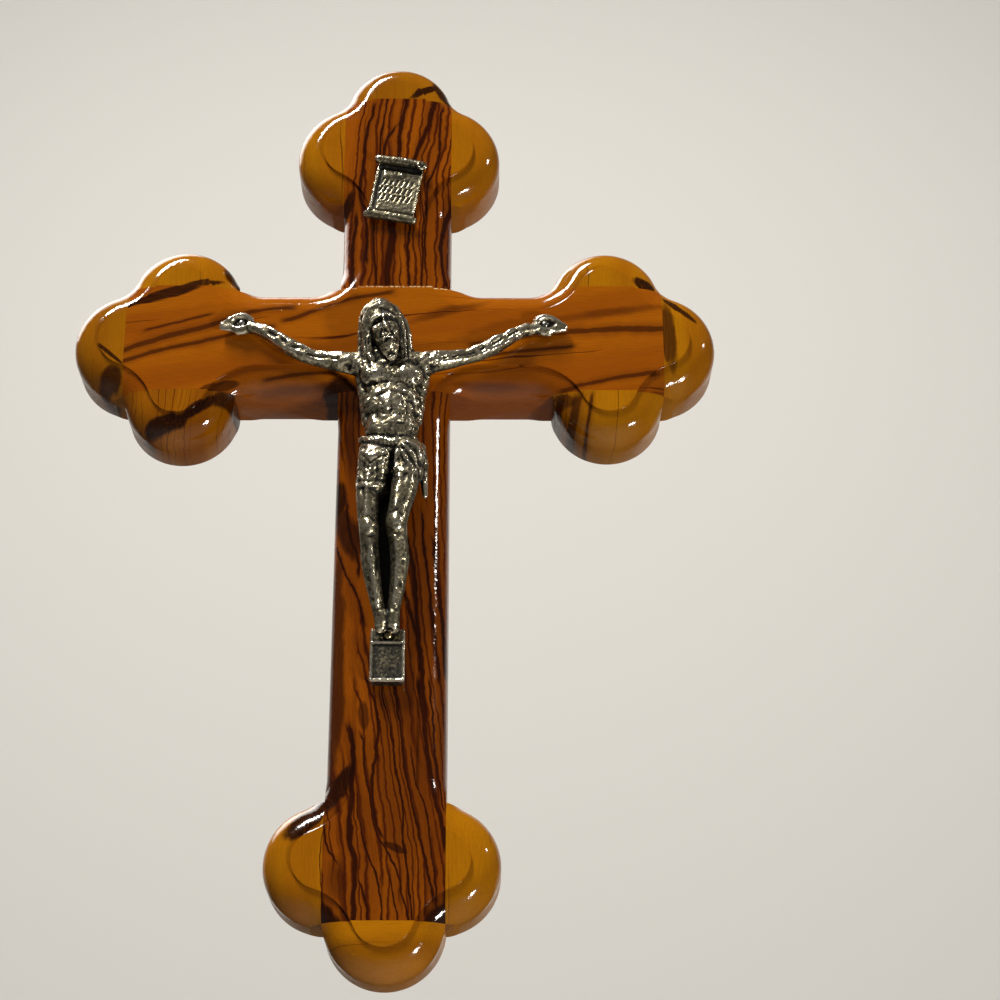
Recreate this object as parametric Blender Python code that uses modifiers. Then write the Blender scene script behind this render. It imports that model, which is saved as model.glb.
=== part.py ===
"""Olive wood wall crucifix with trefoil ends, a cast metal figure and a cast scroll plate.

Units are metres, +Z is up along the upright and the front faces -Y. The origin is on the back face, at the crossing,
where the cross lies against the wall. Two lapped beams carry twelve glued lobes, and one moulding cutter has run
round the whole front edge. The figure and its footrest are one casting, held by three nails.
"""

import math

import bmesh
import bpy
from mathutils import Matrix, Vector

MM = 0.001

# Beams
UPRIGHT_WIDTH = 17.4 * MM
ARM_WIDTH = 18.4 * MM
WOOD_THICKNESS = 11.0 * MM
HEAD_REACH = 44.7 * MM  # from the crossing up to the end of the upright
FOOT_REACH = 91.9 * MM  # from the crossing down to the end of the upright
ARM_REACH = 42.2 * MM  # from the crossing out to either end of the cross beam
GLUE_GAP = 0.3 * MM

# Lobes: how long each is along the beam's side, and how far each stands out from it
SIDE_LOBE_LENGTH = 17.4 * MM
HEAD_SIDE_LOBE_LENGTH = 19.2 * MM
SIDE_LOBE_RISE = 7.9 * MM
UPRIGHT_END_RISE = 8.0 * MM
ARM_END_RISE = 8.5 * MM
FOOT_LEFT_RISE = 8.8 * MM  # this one was cut fuller than the others
LEFT_ARM_LOWER_RISE = 8.3 * MM

# Moulded front edge and eased back edge
ROUND_OVER = 4.3 * MM
EDGE_STEP = 0.6 * MM
BEARING_RADIUS = 5.0 * MM  # the cutter's guide wheel, which can't reach into an inner corner
BACK_EASE = 0.6 * MM
ROUND_OVER_STEPS = 4
LOBE_SEGMENTS = 36
LOBE_STEPS = 14
CORNER_STEPS = 4
WHEEL_SETTLING = 60  # rounds of moving the guide wheel until it touches both sides of its corner
CUTTER_MARGIN = 1.0 * MM
CUTTER_LEAD_IN = 0.04 * MM  # the cut starts just outside the wood

# Hole in the back for the wall nail
HANGING_HOLE_DIAMETER = 3.5 * MM
HANGING_HOLE_DEPTH = 6.0 * MM
HANGING_HOLE_FROM_TOP = 9.0 * MM

# Cast figure, laid out in millimetres at PATTERN_HEIGHT and scaled to FIGURE_HEIGHT
FIGURE_HEIGHT = 58.0 * MM
PATTERN_HEIGHT = 58.0
FIGURE_VOXEL = 0.42 * MM
FIGURE_KEEP = 0.094  # share of the remeshed triangles that the casting keeps

# Nails
NAIL_DIAMETER = 0.7 * MM
NAIL_HEAD_DIAMETER = 1.2 * MM
NAIL_HEAD_HEIGHT = 0.4 * MM
NAIL_DEPTH = 6.0 * MM  # how far it goes into the wood
NAIL_CLEARANCE = 0.3 * MM
TURNED_STEPS = 16
NAIL_SINK = 3.0 * MM  # how far in front of the seat the casting is opened for the head

# Scroll plate over the figure
PLATE_WIDTH = 7.4 * MM
PLATE_HEIGHT = 11.6 * MM
PLATE_THICKNESS = 0.9 * MM
PLATE_ROLL_RADIUS = 0.8 * MM
PLATE_CENTRE_X = -0.2 * MM
PLATE_CENTRE_Z = 26.4 * MM
PLATE_TILT = math.radians(10.0)  # clockwise, seen from the front

FRONT = -WOOD_THICKNESS
LAP_DEPTH = WOOD_THICKNESS / 2
BIG = 4 * FOOT_REACH


def clear_scene():
    for obj in list(bpy.data.objects):
        bpy.data.objects.remove(obj)


def new_collection(name):
    collection = bpy.data.collections.new(name)
    bpy.context.scene.collection.children.link(collection)
    return collection


def new_material(name, colour, roughness, metallic):
    material = bpy.data.materials.new(name)
    material.use_nodes = True
    shader = material.node_tree.nodes["Principled BSDF"]
    shader.inputs["Base Color"].default_value = (*colour, 1.0)
    shader.inputs["Roughness"].default_value = roughness
    shader.inputs["Metallic"].default_value = metallic
    return material


def add_object(name, bm, material, collection):
    mesh = bpy.data.meshes.new(name)
    bmesh.ops.recalc_face_normals(bm, faces=bm.faces)
    bm.to_mesh(mesh)
    bm.free()
    obj = bpy.data.objects.new(name, mesh)
    collection.objects.link(obj)
    if material:
        mesh.materials.append(material)
    return obj


def add_cutter(name, bm):
    obj = add_object(name, bm, None, cutters)
    obj.hide_render = True
    obj.display_type = "WIRE"
    return obj


def boolean(obj, operation, other):
    modifier = obj.modifiers.new(f"{operation} {other.name}", "BOOLEAN")
    modifier.operation = operation
    modifier.object = other


def add_box(bm, low, high):
    low, high = Vector(low), Vector(high)
    size = high - low
    place = Matrix.Translation((low + high) / 2) @ Matrix.Diagonal((*size, 1.0))
    bmesh.ops.create_cube(bm, size=1.0, matrix=place)


def add_cylinder(bm, start, end, radius, segments=20, end_radius=None):
    """A closed cylinder or cone from start to end."""
    start, end = Vector(start), Vector(end)
    along = end - start
    turn = along.to_track_quat("Z", "Y").to_matrix().to_4x4()
    bmesh.ops.create_cone(
        bm,
        cap_ends=True,
        segments=segments,
        radius1=radius,
        radius2=radius if end_radius is None else end_radius,
        depth=along.length,
        matrix=Matrix.Translation((start + end) / 2) @ turn,
    )


def add_turned(name, place, profile, collection, material=None):
    """A body turned about a line square to the wall through place, (x, z). The profile lists (radius, height)
    down its outer side, the height being above the front of the wood.
    """
    mesh = bpy.data.meshes.new(name)
    bm = bmesh.new()
    run = [(0.0, profile[0][1])] + list(profile) + [(0.0, profile[-1][1])]
    verts = [bm.verts.new((radius, 0.0, height)) for radius, height in run]
    for pair in zip(verts, verts[1:]):
        bm.edges.new(pair)
    bm.to_mesh(mesh)
    bm.free()
    obj = bpy.data.objects.new(name, mesh)
    obj.location = (place[0], FRONT, place[1])
    obj.rotation_euler = (math.pi / 2, 0, 0)
    collection.objects.link(obj)
    if material:
        mesh.materials.append(material)
    turn = obj.modifiers.new("Turn", "SCREW")
    turn.steps = TURNED_STEPS
    turn.render_steps = TURNED_STEPS
    turn.use_merge_vertices = True
    turn.merge_threshold = 0.00001
    return obj


# Outline of the cross, in the plane of its face. Each arm gives three lobes between two straight sides.

class Lobe:
    """A lobe whose seam runs between two corners of a beam and which rises outwards from the middle of the seam."""

    def __init__(self, name, first, last, rise):
        half = (last - first).length / 2
        along = (last - first).normalized()
        outward = Vector((along.y, -along.x))
        self.name = name
        self.first = first
        self.last = last
        self.rise = rise
        self.along = along
        self.outward = outward
        self.radius = (rise**2 + half**2) / (2 * rise)
        self.centre = (first + last) / 2 + outward * (rise - self.radius)


class Side:
    """A straight side of a beam, through a point, with its outward direction."""

    def __init__(self, point, outward):
        self.point = point
        self.outward = outward


def arm_elements(outward, reach, half_width, side_length, names, rises):
    """The side, three lobes and side of one arm, going anticlockwise round the cross."""
    left = Vector((-outward.y, outward.x))
    seam = outward * reach
    inner = outward * (reach - side_length)
    corner_in, corner_out = seam - left * half_width, seam + left * half_width
    first = Lobe(names[0], inner - left * half_width, corner_in, rises[0])
    end = Lobe(names[1], corner_in, corner_out, rises[1])
    last = Lobe(names[2], corner_out, inner + left * half_width, rises[2])
    return [Side(corner_in, -left), first, end, last, Side(corner_out, left)]


def cross_elements():
    half_upright, half_arm = UPRIGHT_WIDTH / 2, ARM_WIDTH / 2
    plain = SIDE_LOBE_RISE
    right = arm_elements(
        Vector((1, 0)),
        ARM_REACH,
        half_arm,
        SIDE_LOBE_LENGTH,
        ("right_arm_lower_lobe", "right_arm_end_lobe", "right_arm_upper_lobe"),
        (plain, ARM_END_RISE, plain),
    )
    head = arm_elements(
        Vector((0, 1)),
        HEAD_REACH,
        half_upright,
        HEAD_SIDE_LOBE_LENGTH,
        ("head_right_lobe", "head_top_lobe", "head_left_lobe"),
        (plain, UPRIGHT_END_RISE, plain),
    )
    left = arm_elements(
        Vector((-1, 0)),
        ARM_REACH,
        half_arm,
        SIDE_LOBE_LENGTH,
        ("left_arm_upper_lobe", "left_arm_end_lobe", "left_arm_lower_lobe"),
        (plain, ARM_END_RISE, LEFT_ARM_LOWER_RISE),
    )
    foot = arm_elements(
        Vector((0, -1)),
        FOOT_REACH,
        half_upright,
        SIDE_LOBE_LENGTH,
        ("foot_left_lobe", "foot_bottom_lobe", "foot_right_lobe"),
        (FOOT_LEFT_RISE, UPRIGHT_END_RISE, plain),
    )
    return right + head + left + foot


def true_corner(before, after):
    """Where two neighbouring elements meet."""
    if isinstance(before, Lobe):
        return before.last
    if isinstance(after, Lobe):
        return after.first
    across, up = before.outward, after.outward
    return across * before.point.dot(across) + up * after.point.dot(up)


def wheel_centre(before, after):
    """The middle of the cutter's guide wheel where it touches both elements, in the inner corner between them."""
    corner = true_corner(before, after)
    centre = corner + (outward_at(before, corner) + outward_at(after, corner)) * BEARING_RADIUS
    for _ in range(WHEEL_SETTLING):
        for element in (before, after):
            centre += outward_at(element, centre) * (BEARING_RADIUS - distance_from(element, centre))
    return centre


def outward_at(element, point):
    if isinstance(element, Lobe):
        return (point - element.centre).normalized()
    return element.outward


def distance_from(element, point):
    if isinstance(element, Lobe):
        return (point - element.centre).length - element.radius
    return (point - element.point).dot(element.outward)


def angle_of(vector):
    return math.atan2(vector.y, vector.x)


def arc(centre, radius, start, sweep, steps):
    angles = [start + sweep * k / steps for k in range(steps + 1)]
    return [centre + Vector((math.cos(a), math.sin(a))) * radius for a in angles]


def moulding_outline(inset):
    """The moulded edge's outline at one depth of the cut, as a closed run of points."""
    elements = cross_elements()
    count = len(elements)
    wheels = [wheel_centre(elements[i - 1], elements[i]) for i in range(count)]
    points = []
    for i, element in enumerate(elements):
        wheel, before = wheels[i], elements[i - 1]
        enter = angle_of(-outward_at(before, wheel))
        leave = angle_of(-outward_at(element, wheel))
        sweep = -((enter - leave) % (2 * math.pi))
        points += arc(wheel, BEARING_RADIUS + inset, enter, sweep, CORNER_STEPS)
        if isinstance(element, Lobe):
            start = angle_of(wheel - element.centre)
            stop = angle_of(wheels[(i + 1) % count] - element.centre)
            sweep = (stop - start) % (2 * math.pi)
            points += arc(element.centre, element.radius - inset, start, sweep, LOBE_STEPS)[1:-1]
    return points


def moulding_levels():
    """Inset and height above the back face of each ring of the moulding solid, from the back to the front."""
    top = WOOD_THICKNESS
    start = top - EDGE_STEP - ROUND_OVER
    levels = [
        (BACK_EASE + CUTTER_MARGIN, -CUTTER_MARGIN),
        (-CUTTER_MARGIN, BACK_EASE + CUTTER_MARGIN),
        (-CUTTER_MARGIN, start - CUTTER_LEAD_IN),
        (-CUTTER_LEAD_IN, start - CUTTER_LEAD_IN),
    ]
    for k in range(1, ROUND_OVER_STEPS + 1):
        angle = math.pi / 2 * k / ROUND_OVER_STEPS
        levels.append((ROUND_OVER * (1 - math.cos(angle)), start + ROUND_OVER * math.sin(angle)))
    levels.append((ROUND_OVER, top))
    return levels


def moulding_solid():
    """Everything that the moulding cutter leaves standing, lofted through its levels."""
    bm = bmesh.new()
    rings = []
    for inset, height in moulding_levels():
        rings.append([bm.verts.new((p.x, -height, p.y)) for p in moulding_outline(inset)])
    for lower, upper in zip(rings, rings[1:]):
        for k in range(len(lower)):
            bm.faces.new((lower[k - 1], lower[k], upper[k], upper[k - 1]))
    bm.faces.new(rings[0])
    bm.faces.new(rings[-1])
    return add_cutter("moulding_cutter", bm)


def upright(moulding, wood):
    bm = bmesh.new()
    half = UPRIGHT_WIDTH / 2
    add_box(bm, (-half, FRONT, -FOOT_REACH), (half, 0, HEAD_REACH))
    obj = add_object("upright_beam", bm, wood, parts)
    notch = bmesh.new()
    half_lap = ARM_WIDTH / 2 + GLUE_GAP
    add_box(notch, (-BIG, -BIG, -half_lap), (BIG, -LAP_DEPTH, half_lap))
    boolean(obj, "DIFFERENCE", add_cutter("upright_lap_cutter", notch))
    boolean(obj, "INTERSECT", moulding)
    return obj


def cross_beam(moulding, wood):
    bm = bmesh.new()
    half = ARM_WIDTH / 2
    add_box(bm, (-ARM_REACH, FRONT, -half), (ARM_REACH, 0, half))
    obj = add_object("cross_beam", bm, wood, parts)
    notch = bmesh.new()
    half_lap = UPRIGHT_WIDTH / 2 + GLUE_GAP
    add_box(notch, (-half_lap, -LAP_DEPTH - GLUE_GAP, -BIG), (half_lap, BIG, BIG))
    boolean(obj, "DIFFERENCE", add_cutter("cross_beam_lap_cutter", notch))
    boolean(obj, "INTERSECT", moulding)
    return obj


def lobe_block(lobe, moulding, wood):
    """A round block, cut off straight along its seam and square at the seam's ends, and moulded with the rest."""
    bm = bmesh.new()
    centre = Vector((lobe.centre.x, 0, lobe.centre.y))
    add_cylinder(bm, centre, centre + Vector((0, FRONT, 0)), lobe.radius, segments=LOBE_SEGMENTS)
    obj = add_object(lobe.name, bm, wood, parts)
    keep = bmesh.new()
    add_box(keep, (0, -BIG, GLUE_GAP), ((lobe.last - lobe.first).length, BIG, BIG))
    outward = Vector((lobe.outward.x, 0, lobe.outward.y))
    along = Vector((lobe.along.x, 0, lobe.along.y))
    turn = Matrix((along, outward.cross(along), outward)).transposed().to_4x4()
    start = Matrix.Translation((lobe.first.x, 0, lobe.first.y))
    bmesh.ops.transform(keep, matrix=start @ turn, verts=keep.verts)
    boolean(obj, "INTERSECT", add_cutter(f"{lobe.name}_seam_cutter", keep))
    boolean(obj, "INTERSECT", moulding)
    return obj


# Cast figure. Points are (right, up, height above the wood) in millimetres of the pattern.

PALM_LEFT = (-23.8, 1.5, 1.5)
PALM_RIGHT = (23.6, 1.4, 1.5)
PALM_SIZE = (2.1, 2.0, 0.85)
FOOT_NAIL = (0.1, -50.5, 1.7)
REST_HALF_WIDTH = 2.65
REST_TOP = -49.3
REST_STEP = -51.5
REST_BOTTOM = -57.6
REST_STRIP_HEIGHT = 1.7
REST_PLATE_HEIGHT = 2.5
WEB_HEIGHT = 1.6


def add_ball(bm, centre, radii, tilt=0.0):
    place = Matrix.Translation(centre) @ Matrix.Rotation(math.radians(tilt), 4, "Z")
    bmesh.ops.create_uvsphere(
        bm, u_segments=20, v_segments=12, radius=1.0, matrix=place @ Matrix.Diagonal((*radii, 1.0))
    )


def add_limb(bm, stations):
    """Tapered runs between stations, each (x, y, z, radius), with a ball at every joint."""
    for x, y, z, radius in stations:
        add_ball(bm, (x, y, z), (radius,) * 3)
    for (x0, y0, z0, r0), (x1, y1, z1, r1) in zip(stations, stations[1:]):
        add_cylinder(bm, (x0, y0, z0), (x1, y1, z1), r0, segments=16, end_radius=r1)


def add_trunk(bm):
    add_ball(bm, (0.0, -9.2, 3.1), (5.8, 4.6, 2.7))
    add_ball(bm, (-2.8, -9.0, 4.5), (2.9, 2.0, 1.5), tilt=10)
    add_ball(bm, (2.6, -9.2, 4.5), (2.9, 2.0, 1.5), tilt=-10)
    add_ball(bm, (0.0, -13.4, 3.1), (5.1, 4.6, 2.6))
    add_ball(bm, (0.0, -17.6, 3.1), (4.3, 4.4, 2.5))
    add_limb(bm, [(-6.0, -6.2, 2.9, 1.9), (-0.6, -5.4, 3.2, 2.1), (5.4, -6.2, 2.9, 1.9)])


def add_head(bm):
    add_limb(bm, [(-0.6, -6.8, 3.3, 2.0), (-1.1, -3.6, 4.4, 1.9)])
    add_ball(bm, (-1.9, 0.1, 4.9), (3.2, 3.9, 3.5), tilt=13)
    add_ball(bm, (-0.8, -3.4, 6.2), (2.3, 3.1, 2.4), tilt=13)
    add_ball(bm, (0.0, -6.0, 6.2), (1.6, 1.8, 1.4), tilt=13)
    add_ball(bm, (-0.9, -2.9, 8.3), (0.5, 1.2, 0.6), tilt=13)
    add_limb(bm, [(-2.4, -2.6, 4.4, 2.2), (-2.4, -5.4, 3.8, 2.0)])
    add_limb(bm, [(-3.6, 1.0, 4.2, 1.6), (-4.2, -2.4, 4.0, 1.4), (-4.3, -6.0, 3.9, 1.2), (-4.0, -8.4, 4.4, 0.8)])
    add_limb(bm, [(-0.3, 1.4, 4.4, 1.6), (0.9, -1.8, 4.3, 1.5), (1.6, -5.0, 4.0, 1.2), (2.3, -7.6, 4.5, 0.8)])


def add_arms(bm):
    add_limb(
        bm,
        [
            (-6.0, -6.3, 3.0, 1.85),
            (-9.8, -5.6, 2.7, 1.45),
            (-13.9, -4.3, 2.3, 1.3),
            (-17.0, -2.4, 2.2, 1.3),
            (-21.4, 0.6, 1.7, 1.05),
        ],
    )
    add_limb(
        bm,
        [
            (5.4, -6.1, 3.0, 1.85),
            (9.0, -5.4, 2.7, 1.45),
            (13.2, -4.0, 2.3, 1.3),
            (16.4, -2.2, 2.2, 1.3),
            (20.6, 0.6, 1.7, 1.05),
        ],
    )
    for side, palm in ((-1, PALM_LEFT), (1, PALM_RIGHT)):
        x, y, z = palm
        add_ball(bm, palm, PALM_SIZE)
        add_limb(bm, [(x - side * 2.4, y - 0.9, z, 1.0), (x, y, z, 0.8)])
        for k in range(4):
            spread = 0.9 - 0.62 * k
            tip = 3.1 - 0.35 * abs(k - 1)
            add_limb(bm, [(x, y + spread, z, 0.7), (x + side * tip, y - 0.4 + 0.8 * spread, z, 0.45)])


def add_legs(bm):
    add_limb(
        bm,
        [
            (-2.4, -21.5, 3.2, 2.5),
            (-3.2, -28.0, 3.9, 1.95),
            (-3.1, -35.0, 4.4, 1.5),
            (-2.7, -39.5, 3.7, 1.35),
            (-1.5, -46.6, 2.9, 1.0),
            (-0.9, -50.0, 2.4, 1.0),
        ],
    )
    add_limb(
        bm,
        [
            (2.2, -21.5, 3.3, 2.5),
            (2.2, -27.5, 4.5, 2.05),
            (1.1, -33.9, 5.4, 1.6),
            (1.6, -39.2, 4.2, 1.35),
            (0.8, -46.0, 3.2, 0.95),
            (0.6, -49.9, 2.5, 1.1),
        ],
    )
    for y, half_width in ((-27.0, 2.6), (-33.0, 1.9), (-39.0, 1.9), (-44.0, 1.2)):
        add_box(bm, (-half_width - 0.6, y - 3.2, -1.0), (half_width - 0.6, y + 3.2, WEB_HEIGHT))


def add_loincloth(bm):
    add_ball(bm, (0.1, -21.2, 3.3), (4.8, 2.3, 2.8))
    add_cylinder(bm, (-2.2, -20.6, 3.0), (-3.0, -27.3, 3.7), 2.5, end_radius=2.5)
    add_cylinder(bm, (2.2, -20.6, 3.1), (2.5, -26.0, 4.2), 2.5, end_radius=2.5)
    add_limb(bm, [(-4.4, -19.6, 3.4, 0.6), (0.0, -20.8, 5.6, 0.7), (4.6, -20.8, 3.6, 0.6)])
    add_limb(bm, [(4.0, -20.4, 2.8, 1.0), (4.4, -24.5, 2.4, 1.0), (4.7, -28.0, 1.6, 0.7)])


def add_footrest(bm):
    half = REST_HALF_WIDTH
    add_box(bm, (-half, REST_BOTTOM, -1.0), (half, REST_TOP, REST_STRIP_HEIGHT))
    add_box(bm, (-half, REST_BOTTOM, -1.0), (half, REST_STEP, REST_PLATE_HEIGHT))


def figure_matrix():
    scale = FIGURE_HEIGHT / PATTERN_HEIGHT
    return Matrix.Translation((0, FRONT, 0)) @ Matrix.Rotation(math.pi / 2, 4, "X") @ Matrix.Scale(scale, 4)


def figure(metal):
    bm = bmesh.new()
    for add in (add_trunk, add_head, add_arms, add_legs, add_loincloth, add_footrest):
        add(bm)
    bmesh.ops.transform(bm, matrix=figure_matrix(), verts=bm.verts)
    obj = add_object("corpus", bm, metal, parts)
    remesh = obj.modifiers.new("One skin", "REMESH")
    remesh.mode = "VOXEL"
    remesh.voxel_size = FIGURE_VOXEL
    smooth = obj.modifiers.new("Blend", "SMOOTH")
    smooth.factor = 0.5
    smooth.iterations = 2
    decimate = obj.modifiers.new("Fewer faces", "DECIMATE")
    decimate.ratio = FIGURE_KEEP
    keep = bmesh.new()
    add_box(keep, (-BIG, -BIG, -BIG), (BIG, FRONT - GLUE_GAP, BIG))
    boolean(obj, "INTERSECT", add_cutter("corpus_back_cutter", keep))
    return obj


# Nails. A place is (x, z) in the plane of the face and a seat is the height of the head's underside above it.

def nail_hole(name, place, seat):
    """A clearance hole for the nail through the casting and into the wood, wider where the head sits."""
    shank = NAIL_DIAMETER / 2 + NAIL_CLEARANCE
    head = NAIL_HEAD_DIAMETER / 2 + NAIL_CLEARANCE
    under_head = seat - NAIL_CLEARANCE
    tip = -NAIL_DEPTH - NAIL_CLEARANCE
    profile = [(head, seat + NAIL_SINK), (head, under_head), (shank, under_head), (shank, tip)]
    obj = add_turned(name, place, profile, cutters)
    obj.hide_render = True
    obj.display_type = "WIRE"
    return obj


def nail(name, place, seat, metal):
    shank, head = NAIL_DIAMETER / 2, NAIL_HEAD_DIAMETER / 2
    profile = [
        (0.6 * head, seat + NAIL_HEAD_HEIGHT),
        (head, seat + 0.5 * NAIL_HEAD_HEIGHT),
        (head, seat),
        (shank, seat),
        (shank, 2 * NAIL_DIAMETER - NAIL_DEPTH),
        (0.2 * shank, -NAIL_DEPTH),
    ]
    return add_turned(name, place, profile, parts, metal)


def nail_places():
    """(name, place, seat) of each nail, from the figure's hands and footrest."""
    scale = FIGURE_HEIGHT / PATTERN_HEIGHT
    rows = (("nail_left_hand", PALM_LEFT), ("nail_right_hand", PALM_RIGHT), ("nail_feet", FOOT_NAIL))
    return [(name, (x * scale, y * scale), height * scale) for name, (x, y, height) in rows]


def scroll_plate(metal):
    """A cast plate like a small scroll, with a roll along its top and bottom edges."""
    bm = bmesh.new()
    half_width, half_height = PLATE_WIDTH / 2, PLATE_HEIGHT / 2
    back = -GLUE_GAP
    add_box(bm, (-half_width, back - PLATE_THICKNESS, -half_height), (half_width, back, half_height))
    obj = add_object("scroll_plate", bm, metal, parts)
    turn = Matrix.Rotation(PLATE_TILT, 4, "Y")
    place = Matrix.Translation((PLATE_CENTRE_X, FRONT, PLATE_CENTRE_Z)) @ turn
    obj.data.transform(place)
    for name, side in (("top", 1), ("bottom", -1)):
        roll = bmesh.new()
        height = side * (half_height - 0.2 * PLATE_ROLL_RADIUS)
        depth = back - PLATE_ROLL_RADIUS - 0.5 * PLATE_THICKNESS
        reach = half_width + 0.2 * PLATE_ROLL_RADIUS
        add_cylinder(roll, (-reach, depth, height), (reach, depth, height), PLATE_ROLL_RADIUS, segments=18)
        bmesh.ops.transform(roll, matrix=place, verts=roll.verts)
        boolean(obj, "UNION", add_cutter(f"scroll_{name}_roll", roll))
    return obj


def hanging_hole():
    bm = bmesh.new()
    z = HEAD_REACH - HANGING_HOLE_FROM_TOP
    add_cylinder(bm, (0, MM, z), (0, -HANGING_HOLE_DEPTH, z), HANGING_HOLE_DIAMETER / 2)
    return add_cutter("hanging_hole_cutter", bm)


def main():
    upright_wood = new_material("Streaked olive wood", (0.42, 0.17, 0.035), 0.18, 0.0)
    arm_wood = new_material("Orange olive wood", (0.50, 0.19, 0.025), 0.18, 0.0)
    lobe_wood = new_material("Yellow olive sapwood", (0.52, 0.27, 0.03), 0.18, 0.0)
    cast_metal = new_material("Antiqued cast metal", (0.48, 0.46, 0.41), 0.35, 1.0)
    nail_metal = new_material("Bright nail", (0.62, 0.56, 0.45), 0.3, 1.0)
    moulding = moulding_solid()
    places = nail_places()
    post = upright(moulding, upright_wood)
    beam = cross_beam(moulding, arm_wood)
    boolean(post, "DIFFERENCE", hanging_hole())
    for element in cross_elements():
        if isinstance(element, Lobe):
            lobe_block(element, moulding, lobe_wood)
    body = figure(cast_metal)
    for name, place, seat in places:
        wood = post if name == "nail_feet" else beam
        hole = nail_hole(f"{name}_hole", place, seat)
        boolean(wood, "DIFFERENCE", hole)
        boolean(body, "DIFFERENCE", hole)
        nail(name, place, seat, nail_metal)
    scroll_plate(cast_metal)


clear_scene()
parts = new_collection("Olive wood crucifix")
cutters = new_collection("Cutters")
main()
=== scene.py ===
"""Looks of the olive wood crucifix: moulded wood, a cast metal figure, a scroll plate and three nails.

Everything is in metres, in the frame's own place: +Z runs up the upright, the front faces -Y and the back
lies on the wall at Y = 0. Heights and lines on the castings are in millimetres: right, up, and out from the
front of the wood.
"""

import math

import bpy
import numpy as np
from mathutils import Matrix, Vector, noise


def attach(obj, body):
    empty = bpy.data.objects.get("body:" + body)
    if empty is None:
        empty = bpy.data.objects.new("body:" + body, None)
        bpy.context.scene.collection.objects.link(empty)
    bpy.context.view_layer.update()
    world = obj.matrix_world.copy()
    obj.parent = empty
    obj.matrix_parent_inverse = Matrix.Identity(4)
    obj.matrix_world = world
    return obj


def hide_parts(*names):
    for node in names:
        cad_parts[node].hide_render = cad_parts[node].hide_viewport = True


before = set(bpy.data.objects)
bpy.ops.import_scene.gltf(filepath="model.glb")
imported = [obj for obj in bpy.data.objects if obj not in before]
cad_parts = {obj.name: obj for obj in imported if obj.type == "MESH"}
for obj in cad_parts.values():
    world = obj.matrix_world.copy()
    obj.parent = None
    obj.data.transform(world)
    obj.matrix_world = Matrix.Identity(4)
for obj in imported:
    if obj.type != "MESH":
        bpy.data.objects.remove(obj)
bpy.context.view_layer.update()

MM = 0.001

# Beams, as in the frame
UPRIGHT_WIDTH = 17.4 * MM
ARM_WIDTH = 18.4 * MM
WOOD_THICKNESS = 11.0 * MM
HEAD_REACH = 44.7 * MM
FOOT_REACH = 91.9 * MM
ARM_REACH = 42.2 * MM
FRONT = -WOOD_THICKNESS
LAP_DEPTH = WOOD_THICKNESS / 2
SEAM = 0.01 * MM  # half a glue seam
PROUD = 3.0 * MM  # how far a block reaches past the moulding before the cut

# Lobes: seam length, and how far each stands out from its seam
SIDE_LOBE_LENGTH = 17.4 * MM
HEAD_SIDE_LOBE_LENGTH = 19.2 * MM
SIDE_LOBE_RISE = 7.9 * MM
UPRIGHT_END_RISE = 8.0 * MM
ARM_END_RISE = 8.5 * MM
FOOT_LEFT_RISE = 8.8 * MM
LEFT_ARM_LOWER_RISE = 8.3 * MM
LOBE_FACETS = 144

# Moulded front edge and eased back edge
ROUND_OVER = 4.3 * MM
EDGE_STEP = 0.6 * MM
STEP_EASE = 0.12 * MM
# How far in each ring of the small step lies, and how far below the face
STEP_RINGS = ((0.01 * MM, STEP_EASE), (0.04 * MM, 0.3 * STEP_EASE), (STEP_EASE, 0.0))
BEARING_RADIUS = 5.0 * MM
BACK_EASE = 0.6 * MM
LEAD_IN = 0.03 * MM
END_CORNERS = 100  # only the two flat ends have more
ROUND_OVER_RINGS = 14
BACK_RINGS = 4
LOBE_STEPS = 26
CORNER_STEPS = 10
WHEEL_SETTLING = 60

# Holes in the wood
HANGING_HOLE_RADIUS = 1.75 * MM
HANGING_HOLE_DEPTH = 6.0 * MM
HANGING_HOLE_FROM_TOP = 9.0 * MM
HOLE_FACETS = 48
NAIL_RADIUS = 0.35 * MM
NAIL_FIT = 0.02 * MM
NAIL_DEPTH = 6.0 * MM
NAIL_SPARE = 0.3 * MM  # how much deeper the bore is than the nail
NAIL_PLACES = {
    "nail_left_hand": (-23.8 * MM, 1.5 * MM),
    "nail_right_hand": (23.6 * MM, 1.4 * MM),
    "nail_feet": (0.1 * MM, -50.5 * MM),
}

# Angles above which an edge stays sharp, in degrees
WOOD_CREASE = 24
CASTING_CREASE = 60
NAIL_CREASE = 38


# Handling pieces

def put_down():
    bpy.ops.object.select_all(action="DESELECT")


def pick_up(piece):
    put_down()
    piece.select_set(True)
    bpy.context.view_layer.objects.active = piece


def settle(piece, name=None):
    """Writes a piece's place into its mesh."""
    pick_up(piece)
    bpy.ops.object.transform_apply(location=True, rotation=True, scale=True)
    if name:
        piece.name = name
        piece.data.name = name
    return piece


def apply(piece, kind, **settings):
    pick_up(piece)
    modifier = piece.modifiers.new(kind.title(), kind)
    for key, value in settings.items():
        setattr(modifier, key, value)
    bpy.ops.object.modifier_apply(modifier=modifier.name)


def cut(piece, tool, operation="DIFFERENCE", keep_tool=False):
    apply(piece, "BOOLEAN", operation=operation, object=tool, solver="EXACT")
    if not keep_tool:
        bpy.data.objects.remove(tool)
    return piece


def block(low, high, name=None):
    low, high = Vector(low), Vector(high)
    put_down()
    bpy.ops.mesh.primitive_cube_add(size=1.0, location=(low + high) / 2, scale=high - low)
    return settle(bpy.context.object, name)


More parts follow.
